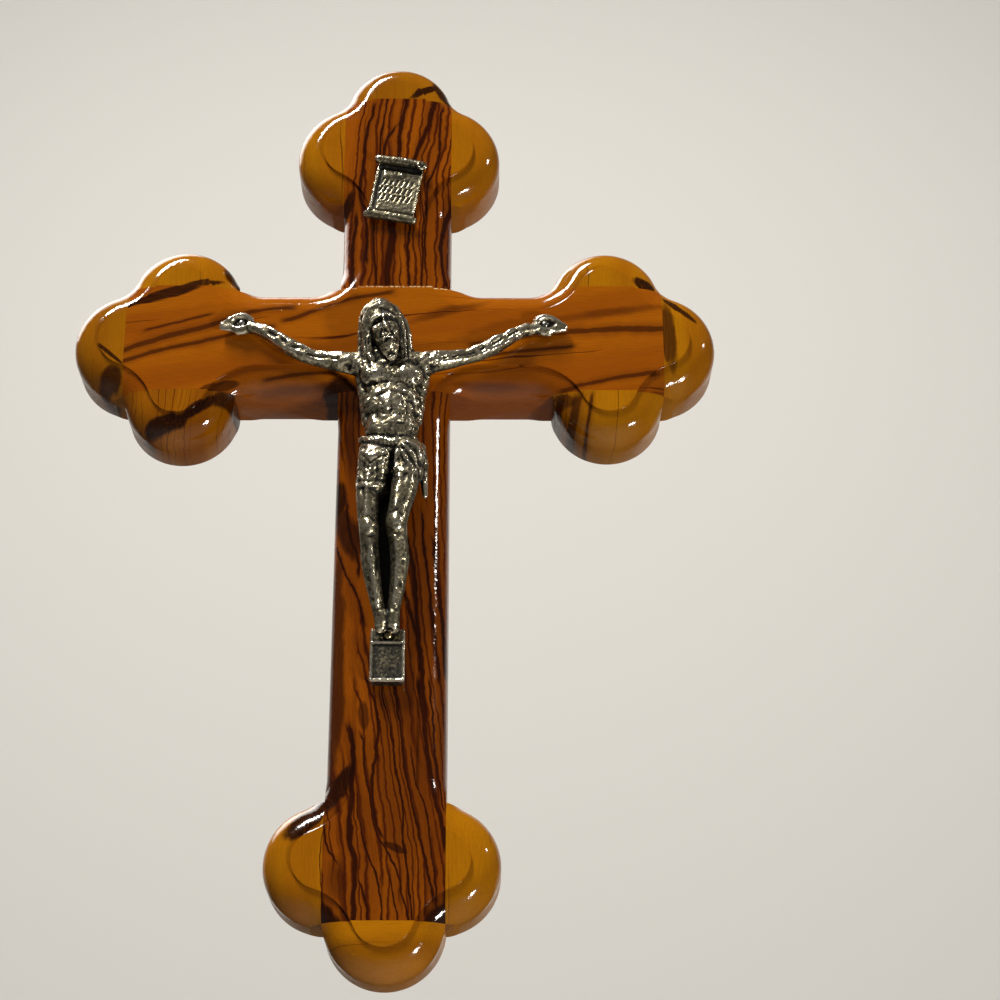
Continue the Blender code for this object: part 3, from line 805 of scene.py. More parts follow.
def rough_figure():
    pieces = [ball(*row) for row in HEAD_BALLS + TRUNK_BALLS + CLOTH_BALLS]
    for stations in HEAD_LIMBS + TRUNK_LIMBS + ARM_STATIONS + LEG_STATIONS + FEET_LIMBS + CLOTH_LIMBS:
        pieces += limb(stations)
    for side, palm in PALMS:
        pieces += hand(side, palm)
    for y, half_width in WEBS:
        low = (WEB_MIDDLE - half_width, y - WEB_HALF_LENGTH, UNDER)
        pieces += slab(low, (WEB_MIDDLE + half_width, y + WEB_HALF_LENGTH, WEB_HEIGHT))
    half = REST_HALF_WIDTH
    pieces += slab((-half, REST_BOTTOM, UNDER), (half, REST_TOP, REST_STRIP_HEIGHT))
    pieces += slab((-half, REST_BOTTOM, UNDER), (half, REST_STEP, REST_PLATE_HEIGHT))
    return settle(join(pieces, "corpus_casting"))


def points_of(piece):
    flat = np.empty(len(piece.data.vertices) * 3)
    piece.data.vertices.foreach_get("co", flat)
    return flat.reshape(-1, 3)


def normals_of(piece):
    flat = np.empty(len(piece.data.vertices) * 3, dtype=np.float32)
    piece.data.vertex_normals.foreach_get("vector", flat)
    return flat.reshape(-1, 3).astype(float)


def plan_of(points):
    """Right, up, and height above the wood, in millimetres."""
    return np.stack([points[:, 0], points[:, 2], FRONT - points[:, 1]], axis=1) / MM


def oval(plan, middle, radii, inner, outer):
    """1 inside an oval, fading to 0 between two shares of its size."""
    away = np.hypot((plan[:, 0] - middle[0]) / radii[0], (plan[:, 1] - middle[1]) / radii[1])
    return 1 - ramp(away, inner, outer)


def move_points(piece, points):
    piece.data.vertices.foreach_set("co", points.ravel())
    piece.data.update()


def neighbours_of(piece):
    pairs = np.empty(len(piece.data.edges) * 2, dtype=np.int64)
    piece.data.edges.foreach_get("vertices", pairs)
    pairs = pairs.reshape(-1, 2)
    return np.concatenate([pairs[:, 0], pairs[:, 1]]), np.concatenate([pairs[:, 1], pairs[:, 0]])


def relaxed(values, links, rounds, share=0.5):
    """Values at the vertices after some rounds of averaging with their neighbours."""
    here, there = links
    count = np.bincount(here, minlength=len(values)).astype(float)[:, None]
    for _ in range(rounds):
        sums = [np.bincount(here, weights=column[there], minlength=len(values)) for column in values.T]
        total = np.stack(sums, axis=1)
        values = values * (1 - share) + total / count * share
    return values


def ramp(values, low, high):
    t = np.clip((values - low) / (high - low), 0.0, 1.0)
    return t * t * (3 - 2 * t)


def near_line(flat, points, width):
    """1 on a line through points, fading over width."""
    best = np.full(len(flat), 1e9)
    for start, end in zip(points, points[1:]):
        start, step = np.array(start, float), np.array(end, float) - np.array(start, float)
        t = np.clip((flat - start) @ step / (step @ step), 0, 1)
        away = flat - start - t[:, None] * step
        best = np.minimum(best, (away**2).sum(1))
    return np.exp(-best / width**2)


def worked(flat, lines):
    """The height that raised and sunk lines add. Each is (height, width, points)."""
    total = np.zeros(len(flat))
    for height, width, points in lines:
        total += height * near_line(flat, points, width)
    return total


def both_sides(lines):
    return [*lines, *((h, w, [(-x, y) for x, y in points]) for h, w, points in lines)]


def grain_noise(points, size, seed):
    """Noise from -1 to 1 at each place, in millimetres, with lumps of one size."""
    return np.array([noise.noise(Vector((p[0] / size, p[1] / size, p[2] / size + seed))) for p in points])


RIBS = [(0.26, 0.34, [(1.2, -10.9 - k), (3.3, -11.3 - 1.12 * k), (5.2, -11.2 - 1.3 * k)]) for k in range(4)]
TORSO_LINES = both_sides(
    [
        (-0.42, 0.42, [(5, -8.9), (3.5, -10.7), (0.7, -10.6)]),
        (0.28, 0.5, [(0.9, -6.9), (5, -5.9)]),
        (-0.22, 0.35, [(1, -7.5), (4.6, -6.8)]),
        *RIBS,
        (-0.4, 0.3, [(0.1, -12.3), (1.8, -12.7), (3.3, -14), (3.9, -15.6)]),
        (0.25, 0.35, [(0.1, -11.7), (2.2, -12.1), (3.9, -13.5)]),
        (0.22, 0.55, [(1, -13.9), (1.1, -15.1)]),
        (0.22, 0.55, [(1, -16), (1, -17)]),
        (-0.26, 0.28, [(0.2, -15.55), (2, -15.4)]),
        (-0.22, 0.28, [(0.2, -17.6), (1.9, -17.5)]),
        (-0.3, 0.35, [(2.2, -13.4), (2.3, -16), (2, -18.2)]),
        (0.16, 0.2, [(3, -9.5), (3.05, -9.5)]),
    ]
) + [
    (-0.34, 0.34, [(-0.1, -7), (-0.05, -11.4)]),
    (-0.3, 0.26, [(0, -12.8), (0, -18.4)]),
    (-0.35, 0.28, [(0, -17.1), (0, -17.3)]),
    (-0.5, 0.5, [(-0.3, -6.6), (0.2, -7)]),
]
ARM_LINES = [
    (0.34, 0.34, [(-7, -5), (-11, -4.6), (-13.6, -3.6), (-17, -1.5), (-20.6, 1)]),
    (-0.55, 0.34, [(-8.6, -6), (-11.4, -5.4), (-13.2, -4.8)]),
    (-0.6, 0.36, [(-14, -4.2), (-16.6, -2.7), (-19.6, -0.5)]),
    (0.2, 0.3, [(-14.6, -4.9), (-17.4, -3.2), (-20.4, -0.7)]),
    (0.34, 0.34, [(6.6, -4.9), (10.2, -4.3), (13, -3.2), (16.4, -1.3), (20, 1.1)]),
    (-0.5, 0.32, [(8, -5.8), (10.6, -5.2), (12.6, -4.5)]),
    (-0.6, 0.36, [(13.6, -3.9), (16.2, -2.4), (19, -0.4)]),
    (0.2, 0.3, [(13.8, -4.7), (16.8, -3), (19.8, -0.6)]),
    (-0.4, 0.45, [(-6.6, -8), (-7.2, -7.3)]),
    (-0.4, 0.45, [(6.2, -8.2), (6.8, -7.3)]),
    (-0.35, 0.4, [(-5.9, -5.6), (-6.6, -7.6)]),
    (-0.35, 0.4, [(5.5, -5.6), (6.2, -7.6)]),
]
LEG_LINES = [
    (0.3, 0.34, [(-3.4, -27.4), (-3.3, -32.6)]),
    (-0.45, 0.38, [(-4.1, -28.4), (-4.2, -33)]),
    (0.3, 0.75, [(-3, -34.3), (-3, -35)]),
    (-0.32, 0.3, [(-3.9, -33.6), (-3, -33.1), (-2.2, -33.8)]),
    (-0.35, 0.34, [(-3.7, -36.1), (-3, -36.5), (-2.3, -36.1)]),
    (0.4, 0.26, [(-2.7, -36.9), (-2.4, -41), (-1.5, -46.6)]),
    (-0.55, 0.4, [(-3.6, -36.8), (-3.3, -41), (-2.3, -45.6)]),
    (-0.35, 0.3, [(-1.9, -37.4), (-1.6, -41)]),
    (0.36, 0.36, [(1.3, -26), (1, -32)]),
    (-0.4, 0.36, [(2.3, -26.2), (2.2, -31)]),
    (0.34, 0.8, [(1.1, -33.9), (1.1, -34.7)]),
    (-0.34, 0.3, [(0.2, -33), (1.1, -32.6), (2, -33.3)]),
    (-0.38, 0.34, [(0.4, -35.8), (1.2, -36.2), (2, -35.8)]),
    (0.42, 0.26, [(1.1, -36.6), (1.3, -40.6), (0.9, -46.2)]),
    (-0.48, 0.34, [(2.1, -37), (2.2, -41), (1.7, -44.8)]),
    (-0.4, 0.3, [(-0.1, -45.4), (-0.05, -47.2)]),
    (0.2, 0.3, [(-1.7, -46.4), (-1.2, -46.9)]),
    (0.2, 0.3, [(1.6, -46.2), (1.2, -46.7)]),
]
CLOTH_LINES = [
    (-0.5, 0.26, [(-4.3, -20.4), (-2, -21.4), (0.4, -21.8), (1.8, -22.2)]),
    (-0.45, 0.24, [(1.6, -19.6), (3.2, -19.5), (4.8, -20)]),
    (-0.35, 0.22, [(-4.4, -18.7), (-2, -19.4), (1, -20)]),
    (0.26, 0.34, [(-4.4, -22.2), (-2.8, -23.6), (-0.8, -22.4)]),
    (0.2, 0.26, [(-4.9, -24.4), (-3.4, -25.8), (-0.6, -24.4)]),
    (-0.22, 0.24, [(-4.5, -22.9), (-3, -24.6), (-0.5, -23.1)]),
    (0.18, 0.3, [(-4.9, -21.4), (-4.6, -26.6)]),
    (-0.2, 0.24, [(-4, -21.6), (-3.9, -26.8)]),
    (0.22, 0.3, [(-1.2, -23), (-1, -26.9)]),
    (-0.24, 0.22, [(-2, -24.6), (-1.8, -27.2)]),
    (0.34, 0.26, [(-5.3, -27.6), (-3.6, -28.3), (-1.6, -28.2), (-0.4, -27.4)]),
    (-0.26, 0.26, [(-5, -27), (-3.2, -27.6), (-0.8, -27)]),
    (-1, 0.3, [(0.35, -22.4), (0.25, -24), (0.1, -26.4)]),
    (0.34, 0.26, [(0.9, -22), (0.8, -23.8), (1, -25.2)]),
    (0.36, 0.28, [(1.4, -21.8), (2.2, -23.6), (3.3, -25.4)]),
    (0.34, 0.26, [(1.6, -21.3), (3.1, -22.8), (4.4, -25.2)]),
    (0.3, 0.26, [(2.4, -21.1), (4, -21.9), (4.9, -24)]),
    (-0.36, 0.24, [(1.3, -22.4), (1.8, -23.9), (2.4, -25.4)]),
    (-0.34, 0.24, [(1.6, -21.8), (2.8, -23.4), (3.9, -25.2)]),
    (-0.34, 0.24, [(2.2, -21.3), (3.8, -22.6), (4.6, -24.6)]),
    (0.34, 0.3, [(0.7, -25.3), (2, -25.9), (3.6, -26.1), (4.4, -25.9)]),
    (-0.6, 0.3, [(4.3, -24.4), (4.5, -26.4), (4.6, -28)]),
] + [(0.24, 0.17, [(-4.4 + 0.62 * k, -19.1 - 0.2 * k), (-3.9 + 0.62 * k, -20.1 - 0.2 * k)]) for k in range(9)]
HAIR_LOCKS = [
    (-0.42, 0.2, [(-4.9, 0.6), (-5.1, -2.4), (-5, -5.4), (-4.6, -7.6)]),
    (-0.45, 0.2, [(-4.1, 1.2), (-4.35, -1.4), (-4.3, -4.2), (-3.9, -6.4), (-3.4, -8.2)]),
    (-0.4, 0.18, [(-3.6, 0.6), (-3.75, -1.6), (-3.6, -4.2)]),
    (-0.42, 0.2, [(1.3, 1.4), (2, -0.8), (2.3, -3.2), (2.4, -6)]),
    (-0.42, 0.18, [(0.8, 1.2), (1.3, -1.2), (1.75, -3.6), (1.9, -6.2)]),
    (-0.35, 0.22, [(-3.4, 4), (-3.7, 2.9)]),
    (-0.4, 0.2, [(-4.4, 2.9), (-3.2, 3.4), (-1.8, 3.5), (-0.6, 3.1), (0.6, 2.4)]),
    (-0.3, 0.18, [(-2.2, 4.2), (-2.3, 2.9)]),
    (-0.3, 0.18, [(-1.2, 3.9), (-1.3, 2.8)]),
    (-0.3, 0.18, [(-0.3, 3.5), (-0.5, 2.5)]),
    (-0.3, 0.18, [(-3, 4), (-3.1, 2.8)]),
]
# The face, across and up from the middle of the head along its tilt, after the usual proportions
FACE_LINES = both_sides(
    [
        (-0.55, 0.42, [(0.55, 0.35), (1.35, 0.3)]),
        (0.3, 0.26, [(0.6, 0.36), (0.95, 0.42), (1.3, 0.34)]),
        (-0.22, 0.12, [(0.58, 0.2), (0.95, 0.12), (1.3, 0.2)]),
        (0.3, 0.24, [(0.4, 0.95), (1, 1.15), (1.7, 0.85)]),
        (-0.3, 0.22, [(0.45, -0.2), (0.62, -1.2)]),
        (-0.3, 0.2, [(0.75, -1.55), (1.05, -2.5)]),
        (0.14, 0.45, [(1.35, -0.7), (1.4, -0.75)]),
    ]
) + [
    (-0.3, 0.13, [(-0.75, -2.72), (0, -2.78), (0.75, -2.72)]),
    (-0.3, 0.22, [(-0.45, -3.25), (0.45, -3.25)]),
]
BEARD_LINES = [
    (-0.26, 0.14, [(0.34 * k, -3.3 - 0.05 * abs(k)), (0.27 * k, -4.4), (0.16 * k, -5.4)])
    for k in range(-5, 6)
]


def nail_cups(flat):
    """The sunk hollows that the nail heads sit in."""
    total = np.zeros(len(flat))
    for side, palm in PALMS:
        along, up = flat[:, 0] - palm[0] - side * 0.35, flat[:, 1] - palm[1] - 0.1
        away = np.hypot(along / 1.55, up / 1.02)
        total -= 0.80 * (1 - ramp(away, 0.62, 1.0))
        total += 0.16 * np.exp(-(((away - 1.2) / 0.2) ** 2)) * ramp(up, -0.2, 0.8)
    away = np.hypot(flat[:, 0] - 0.1, flat[:, 1] + 50.5)
    total -= 0.30 * (1 - ramp(away, 0.62, 0.85))
    return total


def footrest_relief(flat):
    """The raised frame and the pitted panel of the block under the feet, and its ledge."""
    x, y = flat[:, 0], flat[:, 1]
    on_plate = ramp(-y, -REST_STEP - 0.05, -REST_STEP + 0.15)
    rim = np.minimum(REST_HALF_WIDTH - np.abs(x), np.minimum(y - REST_BOTTOM, REST_STEP - y))
    across = on_plate * (1 - ramp(np.minimum(REST_STEP - y, y - REST_BOTTOM), 0.22, 0.45))
    total = on_plate * (0.08 * (1 - ramp(rim, 0.2, 0.4)) - 0.14 * ramp(rim, 0.2, 0.5)) + 0.12 * across
    ledge = ramp(y, REST_STEP, REST_STEP + 0.2) * (1 - ramp(y, REST_TOP - 0.2, REST_TOP))
    return total + ledge * (0.15 * (1 - ramp(REST_HALF_WIDTH - np.abs(x), 0.15, 0.4)) - 0.12)


def figure_relief(points):
    """How far each place on the figure is worked outwards, in millimetres."""
    flat = points[:, :2]
    y = flat[:, 1]
    turn = math.radians(HEAD_TILT)
    across, up = flat[:, 0] - HEAD_MIDDLE[0], y - HEAD_MIDDLE[1]
    face = np.stack(
        [across * math.cos(turn) + up * math.sin(turn), up * math.cos(turn) - across * math.sin(turn)], axis=1
    )
    broken = 0.12 + 0.9 * ramp(grain_noise(points, 1.3, 21.0), -0.40, 0.40)
    total = 0.62 * broken * worked(flat, TORSO_LINES) * ramp(-y, 5.6, 6.6) * (1 - ramp(-y, 18.6, 19.4))
    total += 0.70 * broken * worked(flat, ARM_LINES)
    total += 0.55 * worked(flat, LEG_LINES) * ramp(-y, 25.6, 26.4) * (0.3 + 0.7 * broken)
    on_cloth = ramp(-y, 18.2, 19.0) * (1 - ramp(-y, 28.0, 28.8))
    total += (0.35 + 0.5 * broken) * worked(flat, CLOTH_LINES) * on_cloth
    total += nail_cups(flat)
    low_front = 1 - ramp(-y, 49.3, 49.5)
    total = total * low_front + footrest_relief(flat) * (1 - low_front) + nail_cups(flat) * (1 - low_front)
    head = ramp(y, -9.4, -7.6) * (1 - ramp(np.abs(flat[:, 0] + 1.2), 4.4, 5.4))
    forward = ramp(points[:, 2], 5.6, 6.4)
    total = total * (1 - 0.9 * forward * ramp(y, -7.2, -6.4))
    total += head * (1 - forward) * worked(flat, HAIR_LOCKS) * (0.25 + 0.6 * broken)
    total += head * forward * worked(face, FACE_LINES)
    beard = head * ramp(points[:, 2], 5.4, 6.2) * (1 - ramp(face[:, 1], -3.3, -2.9))
    return total + beard * worked(face, BEARD_LINES)


def pits(points):
    """The rough skin of the casting: coarse on the trunk, the cloth and the footrest, finer on the limbs."""
    y = points[:, 1]
    reach = np.abs(points[:, 0])
    legs = ramp(-y, 26.5, 28.5) * (1 - ramp(-y, 49.3, 50.3))
    rough = np.where(reach > 7.0, 0.4, 1.0) * (1.0 - 0.62 * legs) * (1.0 - legs * web_between(points))
    rough = rough * (1.0 - 0.6 * ramp(-y, 49.5, 50.5))
    lumps, coarse = grain_noise(points, 1.5, 15.0), grain_noise(points, 0.75, 5.0)
    fine = grain_noise(points, 0.36, 9.0)
    return rough * (0.13 * lumps + 0.085 * coarse + 0.04 * fine - 0.07 * ramp(-fine, 0.25, 0.55))


def web_between(points):
    """1 on the flat web that joins the legs, 0 on the legs."""
    return 1 - ramp(points[:, 2], 1.75, 2.3)


def standing_out(points, normals, links):
    """How far each place stands out from its close neighbours, and from a wider round of them."""
    near = relaxed(points, links, 5)
    wide = relaxed(points, links, 36, share=0.8)
    return [((points - round_it) * normals).sum(1) for round_it in (near, wide)]


def note_points(piece, name, values):
    """Keeps a number on each point of a casting, for its finish to read."""
    piece.data.attributes.new(name, "FLOAT", "POINT").data.foreach_set("value", values.astype(np.float32))


def cast(piece, voxel, work, skin, soften=2):
    """Makes a rough form one skin, works its lines and skin into it, and notes what its finish reads."""
    apply(piece, "REMESH", mode="VOXEL", voxel_size=voxel)
    apply(piece, "SMOOTH", factor=0.5, iterations=soften)
    points, links = points_of(piece), neighbours_of(piece)
    normals = relaxed(normals_of(piece), links, 3)
    normals /= np.linalg.norm(normals, axis=1)[:, None]
    plan = plan_of(points)
    facing = ramp(-normals[:, 1], 0.05, 0.55)
    points = points + normals * ((work(plan) * facing)[:, None] * MM)
    points = relaxed(points, links, 1, share=0.25)
    plan = plan_of(points)
    points = points + normals * ((skin(plan) * ramp(-normals[:, 1], -0.3, 0.4))[:, None] * MM)
    move_points(piece, points)
    tight, broad = standing_out(points / MM, normals_of(piece), links)
    note_points(piece, "tight", tight)
    note_points(piece, "broad", broad)
    note_points(piece, "facing", -normals[:, 1])
    return piece


def painted_light_and_tone_of(plan, normals):
    """How much darker than its height gives each place of the figure is painted: painted shade on the web
    between the legs, on their inner sides, over the face and under the chin, a painted highlight on the
    chest, and a darker tone on the legs, the toes and the footrest's panel.
    """
    down = -plan[:, 1]
    legs = ramp(down, 25.0, 27.0) * (1 - ramp(down, 47.5, 49.0))
    # Painted shade over the face, where it sinks between the locks of hair.
    face = oval(plan, (-0.85, -2.6), (2.1, 3.4), 0.8, 1.25) * ramp(plan[:, 2], 4.4, 5.4)
    # Painted shadow under the chin.
    chin_shadow = oval(plan, (0.1, -7.7), (2.2, 0.9), 0.6, 1.3)
    # A painted highlight on the chest: it is taken off the darkening.
    chest_highlight = oval(plan, (-0.2, -12.5), (4.4, 5.5), 0.5, 1.2)
    toes = oval(plan, (-0.2, -48.3), (3.0, 2.2), 0.6, 1.2)
    panel = (1 - ramp(down, -REST_BOTTOM - 0.6, -REST_BOTTOM - 0.3)) * ramp(down, 51.9, 52.3)
    panel = panel * (1 - ramp(np.abs(plan[:, 0]), REST_HALF_WIDTH - 0.55, REST_HALF_WIDTH - 0.3))
    # Painted shade on the sides of the legs that face each other.
    inner_leg_shadow = ramp(-normals[:, 0] * np.sign(plan[:, 0] - WEB_MIDDLE), 0.05, 0.55) * legs
    # Painted shade on the web between the legs, summed with the other painted shade, the chest highlight and
    # the darker tones.
    shade = legs * web_between(plan) + 0.28 * face + 0.3 * chin_shadow + 0.38 * panel - 0.22 * chest_highlight
    return shade + 0.22 * toes + 0.10 * legs + 0.45 * inner_leg_shadow


def flatten_back(piece):
    """Cuts a casting off just clear of the wood."""
    cut(piece, block((-1, FRONT - FIGURE_GAP, -1), (1, 1, 1)))


def figure(bores):
    piece = cast(rough_figure(), FIGURE_VOXEL, figure_relief, pits)
    flatten_back(piece)
    cut(piece, bores, keep_tool=True)
    # Notes the painted shade and highlight, and the darker tones, for the finish to read.
    note_points(piece, "shade", painted_light_and_tone_of(plan_of(points_of(piece)), normals_of(piece)))
    return piece


# Scroll plate, laid out round its own middle and then tilted into place

PLATE_VOXEL = 0.1 * MM
PLATE_TILT = math.radians(10.0)
PLATE_MIDDLE = (-0.2 * MM, 26.4 * MM)
PLATE_HALF_WIDTH = 3.55
PLATE_HALF_HEIGHT = 5.75
PLATE_THICKNESS = 0.72
PLATE_UNDER = -0.6
ROLL_OVERLAP = 0.4
CURL_SIDES = 28
CURL_WIRE_SIDES = 14
CURL_LEAN = math.radians(78)
CURL_TURN = math.radians(12)
PLATE_LIMBS = (
    ((-3.75, 5.15, 1.15, 0.72), (0, 5.25, 1.2, 0.76), (3.5, 5.1, 1.2, 0.72)),
    ((-3.6, -5.25, 1.05, 0.66), (0, -5.2, 1.1, 0.62), (3.8, -5.3, 1.1, 0.66)),
    ((-3.5, -4.9, 0.72, 0.26), (-3.55, 0, 0.74, 0.26), (-3.5, 4.7, 0.8, 0.26)),
    ((3.5, -4.9, 0.6, 0.2), (3.5, 4.7, 0.6, 0.2)),
)
PLATE_CURLS = ((3.35, 4.75, 1.75, 0.62, 0.26), (-3.1, -4.75, 1.45, 0.5, 0.24))
STROKE_ROWS = (1.5, 0.05, -1.4)  # heights of the rows
STROKE_PLACES = (-2.5, -1.75, -0.95, -0.1, 0.7, 1.5, 2.3)
STROKE_HALF_LENGTH = 0.42
STROKE_LEAN = 0.12
STROKE_DEPTH = -0.18
STROKE_WIDTH = 0.15


def curl(x, y, height, turn_radius, wire_radius):
    """The rolled end of the sheet, seen end on."""
    put_down()
    bpy.ops.mesh.primitive_torus_add(
        major_segments=CURL_SIDES,
        minor_segments=CURL_WIRE_SIDES,
        major_radius=turn_radius * MM,
        minor_radius=wire_radius * MM,
        location=spot(x, y, height),
        rotation=(CURL_LEAN, 0, CURL_TURN),
    )
    return bpy.context.object


def plate_strokes():
    """Rows of short strokes, all leaning one way, that spell nothing."""
    lines = []
    for middle in STROKE_ROWS:
        for x in STROKE_PLACES:
            top, bottom = middle + STROKE_HALF_LENGTH, middle - STROKE_HALF_LENGTH
            lines.append((STROKE_DEPTH, STROKE_WIDTH, [(x + STROKE_LEAN, top), (x - STROKE_LEAN, bottom)]))
    return lines


def plate_relief(points):
    flat = points[:, :2]
    lines = plate_strokes() + [
        (-0.4, 0.3, [(-3.2, 4.05), (0, 4.15), (2.6, 4)]),
        (-0.26, 0.26, [(-2.6, -4.2), (0, -4.15), (3.3, -4.2)]),
        (0.18, 0.34, [(-2.3, -4.6), (3.3, -4.6)]),
        (0.3, 0.42, [(0.35, 3), (0.45, 2.9)]),
        (-0.18, 0.3, [(-2.9, 3.8), (-2.9, -3.9)]),
        (0.1, 0.6, [(-2.2, 2.6), (-0.8, 2.9)]),
    ]
    return worked(flat, lines)


def plate_skin(points):
    return 0.045 * grain_noise(points, 0.7, 31.0) + 0.03 * grain_noise(points, 0.3, 37.0)


def scroll_plate():
    half, tall = PLATE_HALF_WIDTH, PLATE_HALF_HEIGHT
    pieces = slab((-half, ROLL_OVERLAP - tall, PLATE_UNDER), (half, tall - ROLL_OVERLAP, PLATE_THICKNESS))
    for stations in PLATE_LIMBS:
        pieces += limb(stations)
    pieces += [curl(*row) for row in PLATE_CURLS]
    piece = settle(join(pieces, "scroll_plate_casting"))
    cast(piece, PLATE_VOXEL, plate_relief, plate_skin, soften=1)
    flatten_back(piece)
    piece.rotation_euler = (0, PLATE_TILT, 0)
    piece.location = (PLATE_MIDDLE[0], 0, PLATE_MIDDLE[1])
    return settle(piece)


# Nails, drawn out from the point to the head: (radius, height above the wood) in millimetres

NAIL_SHANK = ((0.04, -5.95), (0.2, -5.4), (0.35, -4.7))
HAND_NAIL = (
    *NAIL_SHANK,
    *((0.35, 1.5), (0.5, 1.5), (0.54, 1.54), (0.55, 1.66)),
    *((0.52, 1.8), (0.43, 1.92), (0.27, 1.99), (0.06, 2.02)),
)
FEET_NAIL = (
    *NAIL_SHANK,
    *((0.35, 1.7), (0.54, 1.7), (0.59, 1.76), (0.6, 1.9)),
    *((0.55, 2.06), (0.42, 2.2), (0.22, 2.28), (0.05, 2.3)),
)
NAIL_FACETS = 32


def nail(name, place, profile):
    x, z = place
    (radius, height), *rest = profile
    put_down()
    bpy.ops.mesh.primitive_circle_add(
        vertices=NAIL_FACETS,
        radius=radius * MM,
        fill_type="NGON",
        location=(x, FRONT - height * MM, z),
        rotation=(math.pi / 2, 0, 0),
    )
    piece = settle(bpy.context.object, f"{name}_pin")
    bpy.ops.object.mode_set(mode="EDIT")
    bpy.ops.mesh.select_all(action="SELECT")
    for next_radius, next_height in rest:
        out = (0, (height - next_height) * MM, 0)
        bpy.ops.mesh.extrude_region_move(TRANSFORM_OT_translate={"value": out})
        grow = next_radius / radius
        bpy.ops.transform.resize(value=(grow, 1, grow), center_override=(x, FRONT - next_height * MM, z))
        radius, height = next_radius, next_height
    bpy.ops.mesh.select_all(action="SELECT")
    bpy.ops.mesh.normals_make_consistent(inside=False)
    bpy.ops.object.mode_set(mode="OBJECT")
    return piece


def reading(tap, name):
    """A number kept on the casting's own points."""
    return tap.add("ShaderNodeAttribute", {"attribute_name": name}, {}, output=2)


def antiqued_metal(name, seed, brightness=1.0):
    """Cast metal, blackened and then rubbed: the recesses stay dark and the high spots are bright. Places
    that turn away from the front are painted darker as shade, and the figure's painted shade and highlight
    are added.
    """
    material, shader, place = new_finish(name)
    x, y, z = axes(place)
    tight, broad, facing = reading(place, "tight"), reading(place, "broad"), reading(place, "facing")
    speck = cloud(x, x * 2.2, y * 2.2, z * 2.2 + seed, detail=3.0, roughness=0.6)
    patch = cloud(x, x * 0.45, y * 0.45, z * 0.45 + seed, detail=2.0)
    # Painted shade: the less a place faces out from the wood, the darker and less metallic it is made.
    wear_and_painted_light = tight * 8.5 + broad * 2.0 + facing.fade(-0.1, 0.8, -0.30, 0.06)
    wear_and_painted_light = wear_and_painted_light + (speck - 0.5) * 1.5 + (patch - 0.5) * 0.7
    # The figure's painted shade, chest highlight and darker tones, read from its points.
    wear_and_painted_light = wear_and_painted_light + 0.39 - reading(place, "shade") * 0.55
    stops = [
        (0, (0.006, 0.005, 0.003)),
        (0.25, (0.035, 0.03, 0.018)),
        (0.48, (0.22 * brightness, 0.192 * brightness, 0.124 * brightness)),
        (0.72, (0.50 * brightness, 0.44 * brightness, 0.29 * brightness)),
        (1, (0.88, 0.81, 0.64)),
    ]
    colour = wear_and_painted_light.add("ShaderNodeValToRGB", {"stops": stops}, {0: wear_and_painted_light})
    joined(shader, "Base Color", colour)
    joined(shader, "Metallic", wear_and_painted_light.fade(0.1, 0.5, 0.35, 0.90))
    joined(shader, "Roughness", wear_and_painted_light.fade(0.2, 0.9, 0.52, 0.19) + (speck - 0.5) * 0.12)
    with_bump(shader, speck, 0.05 * MM)
    return material


GREY_METAL = (0.42, 0.41, 0.38)
GILT_METAL = (0.80, 0.62, 0.36)
PLATE_BRIGHTNESS = 0.72


def nail_metal(name, colour, roughness):
    material, shader, place = new_finish(name)
    x, y, z = axes(place)
    speck = cloud(x, x * 3.0, y * 3.0, z * 3.0, detail=2.0)
    joined(shader, "Base Color", speck.fade(0.3, 0.7).blend([c * 0.55 for c in colour], colour))
    joined(shader, "Roughness", speck.fade(0.3, 0.7, roughness + 0.12, roughness - 0.05))
    shader.inputs["Metallic"].default_value = 1.0
    with_bump(shader, speck, 0.02 * MM)
    return material


def make_metal(bores):
    castings = (
        ("corpus", figure(bores), antiqued_metal("antiqued_figure_metal", 2.0)),
        ("scroll_plate", scroll_plate(), antiqued_metal("antiqued_plate_metal", 8.0, PLATE_BRIGHTNESS)),
    )
    for node, piece, metal in castings:
        hand_over(piece, node, metal, CASTING_CREASE)
    grey = nail_metal("grey_pin_metal", GREY_METAL, 0.30)
    gold = nail_metal("gilt_pin_metal", GILT_METAL, 0.24)
    for node, place in NAIL_PLACES.items():
        profile, metal = (FEET_NAIL, gold) if node == "nail_feet" else (HAND_NAIL, grey)
        hand_over(nail(node, place, profile), node, metal, NAIL_CREASE)


# Camera, lights and stage. Directions are given as right, up, and out from the front.

FOCAL_LENGTH = 75.6
CAMERA_PLACE = (0.0134, -0.3018, -0.1570)
CAMERA_RIGHT = (1.0, -0.0096, -0.0025)
CAMERA_UP = (-0.0016, -0.4057, 0.9140)
CAMERA_BACK = (-0.0097, -0.9140, -0.4057)
SENSOR_WIDTH = 36.0
NEAREST_SEEN = 0.01
FARTHEST_SEEN = 20.0
STUDIO_GREY = (0.83, 0.82, 0.79, 1.0)
SKY_COLOUR = (0.86, 0.85, 0.82, 1.0)
SKY_STRENGTH = 0.055
LAMP_COLOUR = (1.0, 0.96, 0.90)
LAMP_AIM = (0, 0, -0.02)
# Direction, distance, width, height, watts and spread in degrees
LAMPS = {
    "ceiling_lamp": ((-0.30, 0.84, 0.44), 1.20, 0.15, 0.60, 19.5, 180),
    "right_lamp": ((0.86, 0.395, 0.33), 1.20, 0.14, 0.07, 1.6, 180),
    "low_lamp": ((0.63, -0.50, 0.58), 1.20, 0.16, 0.16, 6.5, 180),
    "back_lamp": ((-0.45, 0.80, -0.45), 1.50, 1.20, 1.20, 3.0, 60),
    "backdrop_wash": ((0.0, 0.85, -0.50), 0.90, 1.20, 0.50, 2.2, 180),
}
WASH_TILT = math.radians(70)


